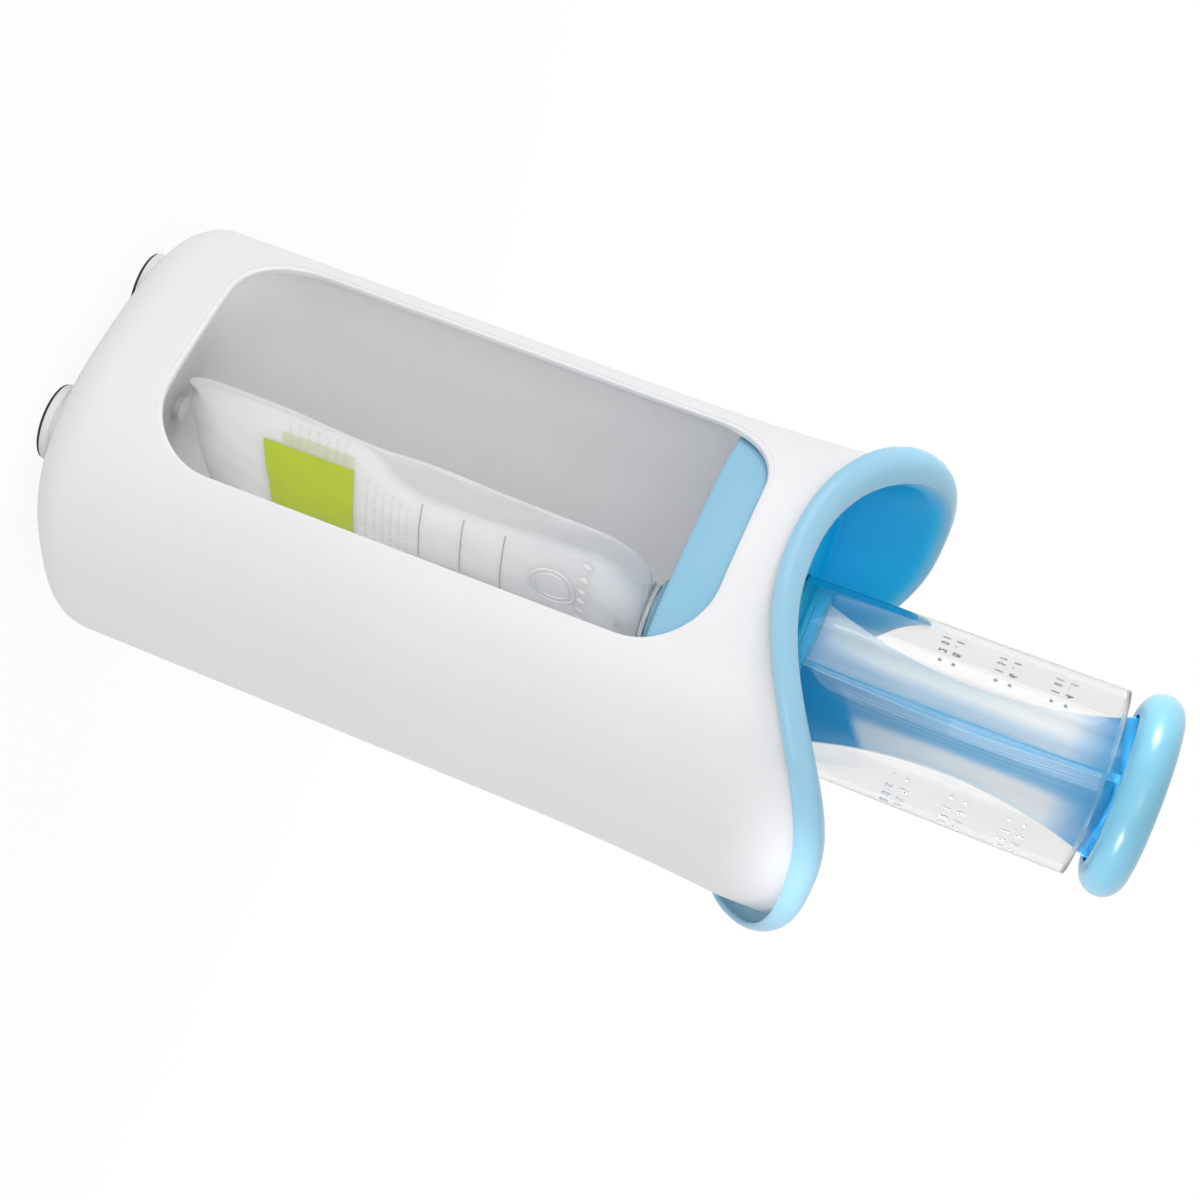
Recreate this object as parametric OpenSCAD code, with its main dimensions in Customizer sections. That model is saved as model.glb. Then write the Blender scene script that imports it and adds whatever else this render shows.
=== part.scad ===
// Food pouch filling station: a tall oval housing on four feet, a drip tray with
// two raised lobes, a clear measuring tube with its plunger, and a pouch hung
// by its spout under the tray. Upright along +Z, window towards -Y, origin on the
// table under the middle of the collar.

/* [Housing] */
// Width of the housing at the middle of its height
body_w = 98; // [90:1:104]
// Depth of the housing at the middle of its height
body_d = 86; // [80:1:90]
// Height of the collar's lower edge where it dips lowest
body_h = 167.4; // [164:0.2:180]
// Squareness of the oval outline, where 2 is an ellipse
squareness = 2.75; // [2.4:0.05:3.2]
// Height of the housing's underside above the table
underside_z = 3.6; // [3:0.1:5]
// Radius of the bottom edge
bottom_r = 12; // [8:1:14]
// Wall thickness
wall = 2.2; // [1.8:0.1:2.4]
// How far the outline moves back from the feet to the collar
lean = 2.2; // [0:0.1:2.5]
// How far the wall widens on its way up to the flare
draft = 1; // [0:0.1:1.2]
// How far the mouth flares out under the collar
flare = 1.8; // [0.5:0.1:2.2]

/* [Window] */
// Width of the window
window_w = 64.5; // [56:0.5:66]
// Height of the window's lower edge
window_z0 = 27; // [22:1:30]
// Height of wall left between the window and the collar
window_top_gap = 8.4; // [7:0.2:12]
// Corner radius of the window
window_r = 17; // [10:1:20]

/* [Collar and tray] */
// Rise of the two side lobes above the dip
lobe_rise = 27; // [20:1:28]
// How much lower the back of the collar is than the middle
collar_tilt = 1.9; // [0:0.1:2]
// How far the rolled lip stands off the housing
lip_out = 4.2; // [3.6:0.1:4.6]
// Height of the rolled lip
lip_h = 6.1; // [5.8:0.1:7]
// Width of the rolled lip across its section
lip_w = 7; // [6.4:0.1:7.4]
// Height of the tray floor above the collar's dip
floor_rise = 6.6; // [6:0.1:7]
// Height of the tray's skirt below its floor
skirt_h = 26; // [24:0.5:28]
// Depth of the well that the tube stands in
well_depth = 9; // [8:0.5:10]

/* [Tube] */
// Outside diameter of the tube at its mouth
tube_d = 45; // [44:0.5:46]
// Bore of the tube
bore_d = 40.8; // [40.4:0.1:41]
// Length of the tube above its nozzle
tube_h = 87.3; // [80:0.1:100]
// Length of the nozzle
nozzle_h = 15; // [13:0.5:16]

/* [Plunger] */
// Diameter of the handle disc
handle_d = 49; // [46:1:54]
// Thickness of the handle disc
handle_h = 10.3; // [9:0.1:12]
// Gap between the tube's mouth and the handle, as stored
stroke_left = 3.2; // [3:0.1:4]
// Widest reach of the plunger's fins from the axis
fin_reach = 17.2; // [15:0.1:17.5]
// Reach of the fins at the waist
fin_waist = 10.7; // [9:0.1:12]
// Thickness of a fin at its edge
fin_t = 2; // [1.6:0.1:2.6]
// Turn of the fins about the axis
fin_turn = 26; // [0:1:89]

/* [Pouch] */
// Half width of the pouch
pouch_w = 26.6; // [22:0.2:28]
// Height of the pouch without its spout
pouch_h = 118; // [100:1:119]
// Half thickness of the pouch, barely filled
pouch_t = 3.2; // [2.6:0.1:8]

/* [Feet] */
// Distance of a foot from the side of the housing
foot_inset_x = 26.5; // [25:0.5:29]
// Distance of a foot from the front or back of the housing
foot_inset_y = 22; // [21:0.5:25]
// Foot diameter
foot_d = 18.6; // [16:0.2:20]
// Thickness of the rubber pad
pad_h = 1; // [0.8:0.1:1.4]

/* [Hidden] */

$fn = 64;
fit = 0.3;          // gap between pieces that lift out
running = 0.05;     // gap between pieces that slide on each other
cut = 1;            // how far a cutter runs past what it cuts
outline_steps = 96; // points round the oval outline

half_w = body_w / 2;
half_d = body_d / 2;
window_z1 = body_h - window_top_gap;
floor_z = body_h + floor_rise;
skirt_z = floor_z - skirt_h;
flare_z0 = body_h - 37.4;   // the flare starts here
flare_z1 = body_h + 12.6;   // and is complete here
lobe_power = 2.2;   // how sharply the lobes rise, where 2 is a parabola
flare_rows = [0.3, 0.5];    // rows of the wall in the flare, as shares of it
wall_rows = [0.3, 0.65, 1]; // rows of the wall below the flare
rim_rows = [0.35, 0.7, 1];  // rows of the wall between the flare and the rim
floor_t = 2.4;      // housing floor
floor_top = underside_z + floor_t;
edge_up = 3.2;      // how far the housing's edge stands up inside the lip
collar_t = 1.8;     // wall of the collar
lip_t = 1.4;        // wall of the rolled lip
collar_foot_drop = 6;
collar_foot_z = floor_z - collar_foot_drop;
skirt_t = 2.2;
plate_t = 2.6;      // tray floor

// Tube, nozzle and well
bore_r = bore_d / 2;
tube_r1 = tube_d / 2;
tube_taper = 0.9;
tube_r0 = tube_r1 - tube_taper;
tube_z0 = floor_z - well_depth;
mouth_z = tube_z0 + tube_h;
tube_floor_t = 2.5;
tube_inside_z = tube_z0 + tube_floor_t;
nozzle_r = 3.9;
nozzle_bore_r = 2.9;
nozzle_z = tube_z0 - nozzle_h;
gasket_t = 0.8;
well_r = tube_r0 + 0.1 + fit;
well_wall = 1.9;
well_z = tube_z0 - gasket_t;
well_floor_t = 2;
well_bottom_z = well_z - well_floor_t;

// Hub, clip and spout
clip_top_z = nozzle_z;
clip_flange_t = 2.4;
clip_h = 7;
clip_z = clip_top_z - clip_h;
clip_r = 9;
hub_r = 12;
spout_r = 6.2;
spout_bore_r = nozzle_r + fit;
socket_r = spout_r + fit;
spout_reach = 7.5;  // how far the spout reaches into the tray above the clip
spout_top_z = clip_top_z + spout_reach;
pouch_drop = 2;     // gap between the pouch's top seam and the clip
pouch_z1 = clip_z - pouch_drop;
pouch_z0 = pouch_z1 - pouch_h;
spout_sunk = 6;     // length of the spout inside the pouch
spout_flange = 1.2; // how far the spout's flange stands out
spout_z0 = pouch_z1 - spout_sunk;
ear_x = hub_r + 2.4;
ear_r = 3.6;
clip_screw_r = 1.2;
clip_screw_head_r = 2.5;
clip_screw_head_h = 1.6;
clip_screw_len = 9;

// Plunger
piston_z0 = tube_inside_z + stroke_left - 0.2;
piston_h = 10;
piston_z1 = piston_z0 + piston_h;
piston_r = bore_r - 0.5;
seal_r = bore_r - running;
seal_up = 3;
seal_z0 = piston_z0 + seal_up;
seal_h = 5;
groove_r = 17.4;
handle_z = mouth_z + stroke_left;
handle_r = handle_d / 2;
handle_edge_r = handle_h / 2;
recess_r = 18.4;
recess_h = 4.6;
cap_r = 16;
cap_h = 2;
fillet_r = 13;      // hollow between two fins
fin_top_z = handle_z + recess_h;
waist_z = (piston_z1 + handle_z) / 2;
waist_chord = (handle_z - piston_z1) / 2;
waist_sag = fin_reach - fin_waist;
waist_r = (waist_chord * waist_chord + waist_sag * waist_sag) / (2 * waist_sag);

// Feet and their screws
foot_x = half_w - foot_inset_x;
foot_y = half_d - foot_inset_y;
foot_screw_r = 1.5;
foot_screw_head_r = 3.2;
foot_screw_head_h = 1.8;
foot_screw_z0 = pad_h + 0.4;

white = "whitesmoke";
blue = "lightskyblue";
cyan = "deepskyblue";
clear = "gainsboro";
steel = "silver";
black = "black";

// Power that keeps the sign of its base
function signed_pow(v, p) = sign(v) * pow(abs(v), p);

// The housing leans back, so the tube's axis and the feet stand this far in front
// of the middle of the collar, under which the origin lies
axis_y = -0.886 * lean;

// How far the wall stands outside the nominal outline at height z
function widening(z) = let (t = max(0, (min(z, flare_z1) - flare_z0) / (flare_z1 - flare_z0)))
    draft * min(z, flare_z1) / flare_z0 + flare * t * t;

// How far the outline has moved back at height z
function shift(z) = lean * min(z, flare_z1) / flare_z1;

// Point of the outline at angle a and height z, moved out by the distance out
function wall_point(a, out, z) = [
    (half_w + widening(z) + out) * signed_pow(cos(a), 2 / squareness),
    (half_d + widening(z) + out) * signed_pow(sin(a), 2 / squareness) + shift(z),
    z
];

// Height of the collar's lower edge at angle a
function rim_z(a) = body_h
    + lobe_rise * pow(abs(signed_pow(cos(a), 2 / squareness)), lobe_power)
    - collar_tilt * signed_pow(sin(a), 2 / squareness);

// Angles of the points round the outline
angles = [for (i = [0 : outline_steps - 1]) 360 * i / outline_steps];

// Level ring at height z, and a ring that follows the collar
function level_ring(out, z) = [for (a = angles) wall_point(a, out, z)];
function rim_ring(out, up) = [for (a = angles) wall_point(a, out, rim_z(a) + up)];

// Ring between the level z0 and the collar, at the fraction t of the way up
function rising_ring(out, z0, up, t) = [
    for (a = angles) wall_point(a, out, z0 + (rim_z(a) + up - z0) * t)
];

// Rings of a rounded bottom edge of radius r, standing on height z
function bottom_rings(out, z, r, steps) = [
    for (i = [0 : steps])
        let (q = 90 * i / steps)
        [for (a = angles) let (p = wall_point(a, out - r * (1 - sin(q)), z + r))
            [p[0], p[1], z + r * (1 - cos(q))]]
];

// Rings of the housing's wall, from a bottom edge of radius r on height z to the rim
function wall_rings(out, z, r) = let (flare_h = flare_z1 - flare_z0) concat(
    bottom_rings(out, z, r, 6),
    [for (t = wall_rows) level_ring(out, z + r + (flare_z0 - z - r) * t)],
    [for (t = flare_rows) level_ring(out, flare_z0 + flare_h * t)],
    [for (t = rim_rows) rising_ring(out, flare_z0 + flare_h * flare_rows[1], edge_up, t)]
);

// The same list from its end to its start
function reversed(list) = [for (i = [len(list) - 1 : -1 : 0]) list[i]];

// The two triangles between neighbouring points of two rings
function strip(lower, upper, n) = [
    for (i = [0 : n - 1]) let (k = (i + 1) % n)
        each [[lower + i, upper + i, upper + k], [lower + i, upper + k, lower + k]]
];

// Closed solid through a stack of rings, with flat ends
module loft(rings) {
    n = len(rings[0]);
    m = len(rings);
    polyhedron(
        points = [for (ring = rings) each ring],
        faces = concat(
            [[for (i = [0 : n - 1]) i]],
            [for (j = [0 : m - 2]) each strip(j * n, (j + 1) * n, n)],
            [[for (i = [n - 1 : -1 : 0]) (m - 1) * n + i]]
        ),
        convexity = 10
    );
}

// Closed band through rings that run round its own section
module band(rings) {
    n = len(rings[0]);
    m = len(rings);
    polyhedron(
        points = [for (ring = rings) each ring],
        faces = [for (j = [0 : m - 1]) each strip(j * n, ((j + 1) % m) * n, n)],
        convexity = 10
    );
}

// Flat outline of the housing at height z, moved out by the distance out
module flat_outline(out, z) {
    polygon([for (p = level_ring(out, z)) [p[0], p[1]]]);
}

// Rectangle with round corners, centred
module round_rect(w, h, r) {
    square([w - 2 * r, h], center = true);
    square([w, h - 2 * r], center = true);
    for (sx = [-1, 1], sy = [-1, 1])
        translate([sx * (w / 2 - r), sy * (h / 2 - r)])
            circle(r);
}

// Puts a copy of what follows over every foot
module at_feet() {
    for (sx = [-1, 1], sy = [-1, 1])
        translate([sx * foot_x, sy * foot_y, 0])
            children();
}

// Ring with a square section
module ring(r_out, r_in, z0, z1) {
    translate([0, 0, z0])
        difference() {
            cylinder(r = r_out, h = z1 - z0);
            translate([0, 0, -cut])
                cylinder(r = r_in, h = z1 - z0 + 2 * cut);
        }
}

module housing() {
    color(white)
        difference() {
            loft(concat(
                wall_rings(0, underside_z, bottom_r),
                reversed(wall_rings(-wall, floor_top, bottom_r - wall))
            ));
            window_cutter();
            at_feet()
                translate([0, 0, underside_z - cut])
                    cylinder(r = foot_screw_r + 0.1, h = floor_t + 2 * cut);
        }
}

module window_cutter() {
    translate([0, -half_d / 2, (window_z0 + window_z1) / 2])
        rotate([90, 0, 0])
            linear_extrude(half_d)
                round_rect(window_w, window_z1 - window_z0, window_r);
}

module collar() {
    color(blue)
        band([
            rim_ring(lip_out, 0),
            rim_ring(lip_out + 0.2, lip_h * 0.28),
            rim_ring(lip_out, lip_h * 0.55),
            rim_ring(lip_out - lip_w * 0.12, lip_h * 0.8),
            rim_ring(lip_out - lip_w * 0.32, lip_h * 0.96),
            rim_ring(lip_out - lip_w * 0.54, lip_h),
            rim_ring(lip_out - lip_w * 0.77, lip_h * 0.94),
            rim_ring(lip_out - lip_w * 0.97, lip_h * 0.78),
            rim_ring(-wall - collar_t + 0.4, lip_h * 0.56),
            rising_ring(-wall - collar_t, collar_foot_z, 0, 0.5),
            level_ring(-wall - collar_t, collar_foot_z),
            level_ring(-wall - 0.2, collar_foot_z),
            rising_ring(-wall - 0.2, collar_foot_z, 0, 0.5),
            rim_ring(-wall - 0.2, edge_up + 0.3),
            rim_ring(-wall + 0.8, lip_h - lip_t - 0.6),
            rim_ring(0.4, lip_h - lip_t),
            rim_ring(lip_out - lip_t - 0.9, lip_h - lip_t - 0.8),
            rim_ring(lip_out - lip_t, lip_h * 0.5),
            rim_ring(lip_out - lip_t + 0.2, 0)
        ]);
}

module tray() {
    color(blue) {
        difference() {
            union() {
                translate([0, 0, floor_z - plate_t])
                    linear_extrude(plate_t)
                        flat_outline(-wall - collar_t - 0.2, floor_z - plate_t);
                translate([0, 0, collar_foot_z - 0.1])
                    linear_extrude(floor_z - collar_foot_z)
                        difference() {
                            flat_outline(-wall - collar_t - 0.2, collar_foot_z);
                            flat_outline(-wall - collar_t - skirt_t, collar_foot_z);
                        }
                translate([0, 0, skirt_z])
                    linear_extrude(collar_foot_z - skirt_z - 0.1)
                        difference() {
                            flat_outline(-wall - fit, skirt_z);
                            flat_outline(-wall - fit - 2 * skirt_t, skirt_z);
                        }
            }
            translate([0, 0, well_bottom_z])
                cylinder(r = well_r + well_wall / 2, h = floor_z - well_bottom_z + cut);
        }
        ring(well_r + well_wall, well_r, well_bottom_z, floor_z);
        ring(well_r + 0.1, spout_bore_r + 0.3, well_bottom_z, well_z);
        ring(hub_r, socket_r, clip_top_z, well_bottom_z);
        ring(socket_r + 0.1, spout_bore_r + 0.3, spout_top_z + fit, well_bottom_z);
        for (s = [-1, 1])
            translate([s * ear_x, 0, 0])
                ring(ear_r, clip_screw_r, clip_top_z, well_bottom_z);
    }
}

module tube_gasket() {
    color(clear)
        ring(tube_r0 - 1.5, hub_r, well_z, well_z + gasket_t - 0.02);
}

module spout_clip() {
    color(blue) {
        ring(clip_r, socket_r, clip_z, clip_top_z);
        difference() {
            union() {
                translate([0, 0, clip_top_z - clip_flange_t])
                    cylinder(r = hub_r, h = clip_flange_t);
                for (s = [-1, 1])
                    translate([s * ear_x, 0, clip_top_z - clip_flange_t])
                        cylinder(r = ear_r, h = clip_flange_t);
            }
            translate([0, 0, clip_z])
                cylinder(r = socket_r, h = clip_top_z - clip_z + cut);
            for (s = [-1, 1])
                translate([s * ear_x, 0, clip_z])
                    cylinder(r = clip_screw_r, h = clip_top_z - clip_z + cut);
        }
    }
}

module clip_screws() {
    color(steel)
        for (s = [-1, 1])
            translate([s * ear_x, 0, clip_top_z - clip_flange_t]) {
                translate([0, 0, -clip_screw_head_h])
                    cylinder(r = clip_screw_head_r, h = clip_screw_head_h);
                cylinder(r = clip_screw_r, h = clip_screw_len);
            }
}

module foot_cup(sx, sy) {
    color(white)
        translate([sx * foot_x, sy * foot_y, 0])
            rotate_extrude()
                difference() {
                    polygon([
                        [0, pad_h],
                        [foot_d / 2 - 0.1, pad_h],
                        [foot_d / 2, pad_h + 0.4],
                        [foot_d / 2 - 0.5, underside_z - 0.9],
                        [foot_d / 2 - 1.4, underside_z],
                        [0, underside_z]
                    ]);
                    translate([0, foot_screw_z0])
                        square([foot_screw_r, underside_z]);
                }
}

module foot_pad(sx, sy) {
    color(black)
        translate([sx * foot_x, sy * foot_y, 0])
            rotate_extrude()
                polygon([
                    [0, 0],
                    [foot_d / 2 - 0.5, 0],
                    [foot_d / 2, 0.4],
                    [foot_d / 2, pad_h],
                    [0, pad_h]
                ]);
}

module foot_screws() {
    color(steel)
        at_feet()
            translate([0, 0, foot_screw_z0]) {
                cylinder(r = foot_screw_r, h = floor_top - foot_screw_z0 + 0.2);
                translate([0, 0, floor_top - foot_screw_z0])
                    cylinder(r = foot_screw_head_r, h = foot_screw_head_h);
            }
}

module tube() {
    color(clear)
        rotate_extrude($fn = 96)
            polygon([
                [nozzle_bore_r, nozzle_z],
                [nozzle_r, nozzle_z],
                [nozzle_r, tube_z0],
                [tube_r0 - 1, tube_z0],
                [tube_r0, tube_z0 + 1],
                [tube_r1, mouth_z - 0.8],
                [tube_r1 - 0.6, mouth_z],
                [bore_r + 0.6, mouth_z],
                [bore_r, mouth_z - 0.8],
                [bore_r, tube_inside_z],
                [nozzle_bore_r, tube_inside_z - 1]
            ]);
}

module piston_seal() {
    color(clear)
        rotate_extrude($fn = 96)
            polygon([
                [groove_r + running, seal_z0 + running],
                [seal_r, seal_z0 + running],
                [seal_r, seal_z0 + 1.2],
                [seal_r - 0.5, seal_z0 + 2],
                [seal_r - 0.5, seal_z0 + seal_h - 2],
                [seal_r, seal_z0 + seal_h - 1.2],
                [seal_r, seal_z0 + seal_h - running],
                [groove_r + running, seal_z0 + seal_h - running]
            ]);
}

module piston_head() {
    color(cyan)
        rotate_extrude($fn = 96)
            polygon([
                [0, piston_z0],
                [piston_r - 1, piston_z0],
                [piston_r, piston_z0 + 1],
                [piston_r, seal_z0],
                [groove_r, seal_z0],
                [groove_r, seal_z0 + seal_h],
                [piston_r, seal_z0 + seal_h],
                [piston_r, piston_z1],
                [0, piston_z1]
            ]);
}

// Outline of two crossed fins with round hollows between them
module fin_star(reach) {
    difference() {
        square(2 * reach, center = true);
        for (q = [0 : 3])
            rotate(90 * q)
                translate([fin_t / 2 + fillet_r, fin_t / 2 + fillet_r]) {
                    circle(fillet_r, $fn = 96);
                    square(2 * reach);
                    translate([-fillet_r, 0])
                        square(2 * reach);
                    translate([0, -fillet_r])
                        square(2 * reach);
                }
    }
}

module plunger_shaft() {
    color(blue)
        intersection() {
            translate([0, 0, piston_z1])
                rotate(fin_turn)
                    linear_extrude(fin_top_z - piston_z1)
                        fin_star(2 * fin_reach);
            rotate_extrude($fn = 96)
                difference() {
                    translate([0, piston_z1 - cut])
                        square([fin_reach, fin_top_z - piston_z1 + 2 * cut]);
                    translate([fin_waist + waist_r, waist_z])
                        circle(waist_r, $fn = 180);
                }
        }
}

module plunger_handle() {
    color(blue)
        rotate_extrude($fn = 96)
            difference() {
                union() {
                    translate([0, handle_z])
                        square([handle_r - handle_edge_r, handle_h]);
                    intersection() {
                        translate([handle_r - handle_edge_r, handle_z + handle_edge_r])
                            circle(handle_edge_r, $fn = 64);
                        translate([0, handle_z])
                            square([handle_r, handle_h]);
                    }
                }
                translate([0, handle_z - cut])
                    square([recess_r, recess_h + cut]);
                translate([0, handle_z + handle_h - cap_h])
                    square([cap_r, cap_h + cut]);
            }
}

module handle_cap() {
    color(blue)
        rotate_extrude($fn = 96)
            polygon([
                [0, handle_z + handle_h - cap_h],
                [cap_r, handle_z + handle_h - cap_h],
                [cap_r, handle_z + handle_h - 0.7],
                [cap_r - 0.6, handle_z + handle_h - 0.1],
                [0, handle_z + handle_h - 0.3]
            ]);
}

// Half width of the pouch at the fraction t of its height
function bag_half_width(t) = let (
        foot = max(0, 1 - t / 0.06),
        shoulder = max(0, (t - 0.88) / 0.12)
    )
    pouch_w - 4 * foot * foot - 13.5 * (1 - sqrt(max(0, 1 - shoulder * shoulder)));

// Half thickness of the pouch at the fraction t of its height
function bag_half_thickness(t) = 0.5 + pouch_t * pow(sin(180 * (0.18 + 0.78 * t)), 0.7);

// Lens section of the pouch with its flat side seams
function bag_ring(t) = [
    for (i = [0 : 23]) let (
            a = 15 * i,
            fill = pow(max(0, 1 - pow(abs(sin(a)) / 0.94, 2)), 0.8)
        )
        [
            sign(cos(a)) * (0.3 + bag_half_thickness(t) * fill),
            bag_half_width(t) * sin(a),
            pouch_z0 + (pouch_z1 - pouch_z0) * t
        ]
];

module pouch_bag() {
    color(clear)
        difference() {
            loft([for (t = [0, 0.02, 0.06, 0.15, 0.3, 0.5, 0.7, 0.82, 0.88, 0.92, 0.96, 0.985, 1]) bag_ring(t)]);
            translate([0, 0, spout_z0])
                cylinder(r = spout_r, h = pouch_z1 - spout_z0 + cut);
        }
}

module pouch_spout() {
    color(white)
        rotate_extrude()
            polygon([
                [spout_bore_r, spout_z0],
                [spout_r, spout_z0],
                [spout_r, pouch_z1 + 0.4],
                [spout_r + spout_flange, pouch_z1 + 0.4],
                [spout_r + spout_flange, pouch_z1 + 1.4],
                [spout_r, pouch_z1 + 1.4],
                [spout_r, spout_top_z],
                [spout_bore_r, spout_top_z]
            ]);
}

// Moves a piece, drawn about the tube's axis, to its place over the origin
module placed() {
    translate([0, axis_y, 0])
        children();
}

placed() housing();
placed() collar();
placed() tray();
placed() tube_gasket();
placed() spout_clip();
placed() clip_screws();
placed() foot_cup(-1, -1);  // foot_cup_front_left
placed() foot_cup(1, -1);  // foot_cup_front_right
placed() foot_cup(-1, 1);  // foot_cup_back_left
placed() foot_cup(1, 1);  // foot_cup_back_right
placed() foot_pad(-1, -1);  // foot_pad_front_left
placed() foot_pad(1, -1);  // foot_pad_front_right
placed() foot_pad(-1, 1);  // foot_pad_back_left
placed() foot_pad(1, 1);  // foot_pad_back_right
placed() foot_screws();
placed() tube();
placed() piston_seal();
placed() piston_head();
placed() plunger_shaft();
placed() plunger_handle();
placed() handle_cap();
placed() pouch_bag();
placed() pouch_spout();
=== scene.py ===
import math

import bmesh
import bpy
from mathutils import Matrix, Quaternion, Vector


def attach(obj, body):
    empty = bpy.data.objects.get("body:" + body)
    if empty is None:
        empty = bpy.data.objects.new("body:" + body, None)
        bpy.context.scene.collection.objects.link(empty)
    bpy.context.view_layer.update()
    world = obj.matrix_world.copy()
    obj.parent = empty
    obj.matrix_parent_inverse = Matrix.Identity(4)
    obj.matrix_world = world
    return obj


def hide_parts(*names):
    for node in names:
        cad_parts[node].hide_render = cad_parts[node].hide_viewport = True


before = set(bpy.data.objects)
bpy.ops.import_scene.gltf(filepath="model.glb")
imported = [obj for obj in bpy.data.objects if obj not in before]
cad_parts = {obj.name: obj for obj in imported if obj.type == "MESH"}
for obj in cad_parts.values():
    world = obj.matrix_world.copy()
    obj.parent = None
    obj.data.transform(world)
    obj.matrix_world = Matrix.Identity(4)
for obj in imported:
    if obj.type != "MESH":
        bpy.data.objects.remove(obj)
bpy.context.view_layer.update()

# ---------------------------------------------------------------------------
# Camera, table and light
# A long lens looks a little down on the window side, turned so that the handle
# points right and down. Soft lamps and a white room light the station, two
# narrow lamps the plunger, and two hidden ones the inside of the housing.

EYE = Vector((0.31609, -0.47071, 0.20649))
AIM = Vector((0.00142, -0.00195, 0.12979))
ROLL = math.radians(110.71)
LENS_MM = 72.35
SENSOR_MM = 36
FAR_CLIP = 20
scene = bpy.context.scene
camera = bpy.data.objects.new("camera", bpy.data.cameras.new("camera"))
camera.location = EYE
camera.rotation_mode = "QUATERNION"
camera.rotation_quaternion = (AIM - EYE).to_track_quat("-Z", "Y") @ Quaternion((0, 0, 1), ROLL)
camera.data.lens = LENS_MM
camera.data.sensor_width = SENSOR_MM
camera.data.clip_end = FAR_CLIP
scene.collection.objects.link(camera)
scene.camera = camera
scene.view_settings.view_transform = "Standard"

STATION_MIDDLE = (0, 0, 0.13)
PLUNGER_LIGHT = (0.95, 0.97, 1)


def lamp(name, place, size, power, aim=STATION_MIDDLE, spread=180, colour=(1, 1, 1)):
    """Soft rectangular lamp that faces the aim; a small spread is a grid in front of it."""
    light = bpy.data.lights.new(name, "AREA")
    light.shape = "RECTANGLE"
    light.size, light.size_y = size
    light.energy = power
    light.spread = math.radians(spread)
    light.color = colour
    holder = bpy.data.objects.new(name, light)
    holder.location = place
    holder.rotation_mode = "QUATERNION"
    holder.rotation_quaternion = (Vector(aim) - Vector(place)).to_track_quat("-Z", "Y")
    scene.collection.objects.link(holder)
    return holder


lamp("left_lamp", (-0.5, -0.62, 0.22), (0.3, 0.3), 1.15)
lamp("front_lamp", (0.62, -0.95, 0.3), (0.45, 0.45), 2.85)
lamp("left_plunger_lamp", (-0.3, -0.37, 0.13), (0.04, 0.05), 0.017,
     aim=(0, 0, 0.248), spread=12, colour=PLUNGER_LIGHT)
lamp("right_plunger_lamp", (0.48, -0.04, 0.12), (0.04, 0.05), 0.012,
     aim=(0, 0, 0.238), spread=7, colour=PLUNGER_LIGHT)
inside_lamp = lamp("inside_lamp", (0.037, -0.008, 0.072), (0.05, 0.12), 0.009, aim=(0, -0.008, 0.072))
floor_lamp = lamp("floor_lamp", (-0.01, -0.012, 0.055), (0.02, 0.02), 0.0022,
                  aim=(-0.028, -0.012, 0.006), spread=60)
for hidden in (inside_lamp, floor_lamp):
    hidden.visible_camera = False
    hidden.visible_glossy = False
    hidden.visible_transmission = False


def feed(tree, node, inputs):
    """Gives inputs of a node their values, or links them to outputs of other nodes."""
    for key, value in inputs.items():
        if isinstance(value, bpy.types.NodeSocket):
            tree.links.new(value, node.inputs[key])
        else:
            node.inputs[key].default_value = value


def add_node(tree, kind, inputs=None):
    """New node of a kind in a shader tree, with its inputs."""
    node = tree.nodes.new("ShaderNode" + kind)
    feed(tree, node, inputs or {})
    return node


def white_for_eye(tree, other, white):
    """Shader that is plain white to the eye, in gloss and through clear plastic."""
    rays = add_node(tree, "LightPath").outputs
    seen = add_node(tree, "Math", {0: rays["Is Camera Ray"], 1: rays["Is Glossy Ray"]})
    both = add_node(tree, "Math", {0: seen.outputs[0], 1: rays["Is Transmission Ray"]})
    seen.operation = both.operation = "MAXIMUM"
    return add_node(tree, "MixShader", {0: both.outputs[0], 1: other, 2: white}).outputs[0]


ROOM_LIGHT = 0.73
ROOM_TONE = (1, 0.995, 0.99, 1)
WHITE = (1, 1, 1, 1)
world = bpy.data.worlds.new("room")
world.use_nodes = True
scene.world = world
room = world.node_tree
room.nodes.clear()
glow = add_node(room, "Background", {"Color": ROOM_TONE, "Strength": ROOM_LIGHT})
sheet = add_node(room, "Background", {"Color": WHITE})
add_node(room, "OutputWorld", {0: white_for_eye(room, glow.outputs[0], sheet.outputs[0])})

# The eye sees the table as plain white, with a small share of matte paint near
# the feet that takes the station's shadow. Other light meets matte paint only.
TABLE_TONE = (0.9, 0.9, 0.9, 1)
TABLE_HALF = 6.0
SHADOW_NEAR = 0.1
SHADOW_FAR = 0.5
GLOW_AT_FEET = 0.92
table_paint = bpy.data.materials.new("table_paint")
table_paint.use_nodes = True
paint = table_paint.node_tree
paint.nodes.clear()
matte = add_node(paint, "BsdfDiffuse", {"Color": TABLE_TONE})
bright = add_node(paint, "Emission", {"Color": WHITE})
spot = add_node(paint, "NewGeometry")
far = add_node(paint, "VectorMath", {0: spot.outputs["Position"]})
far.operation = "LENGTH"
fade = add_node(paint, "MapRange", {
    "Value": far.outputs["Value"], "From Min": SHADOW_NEAR, "From Max": SHADOW_FAR,
    "To Min": GLOW_AT_FEET, "To Max": 1,
})
fade.interpolation_type = "SMOOTHSTEP"
part_bright = add_node(paint, "MixShader", {
    0: fade.outputs["Result"], 1: matte.outputs[0], 2: bright.outputs[0],
})
add_node(paint, "OutputMaterial", {0: white_for_eye(paint, matte.outputs[0], part_bright.outputs[0])})

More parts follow.
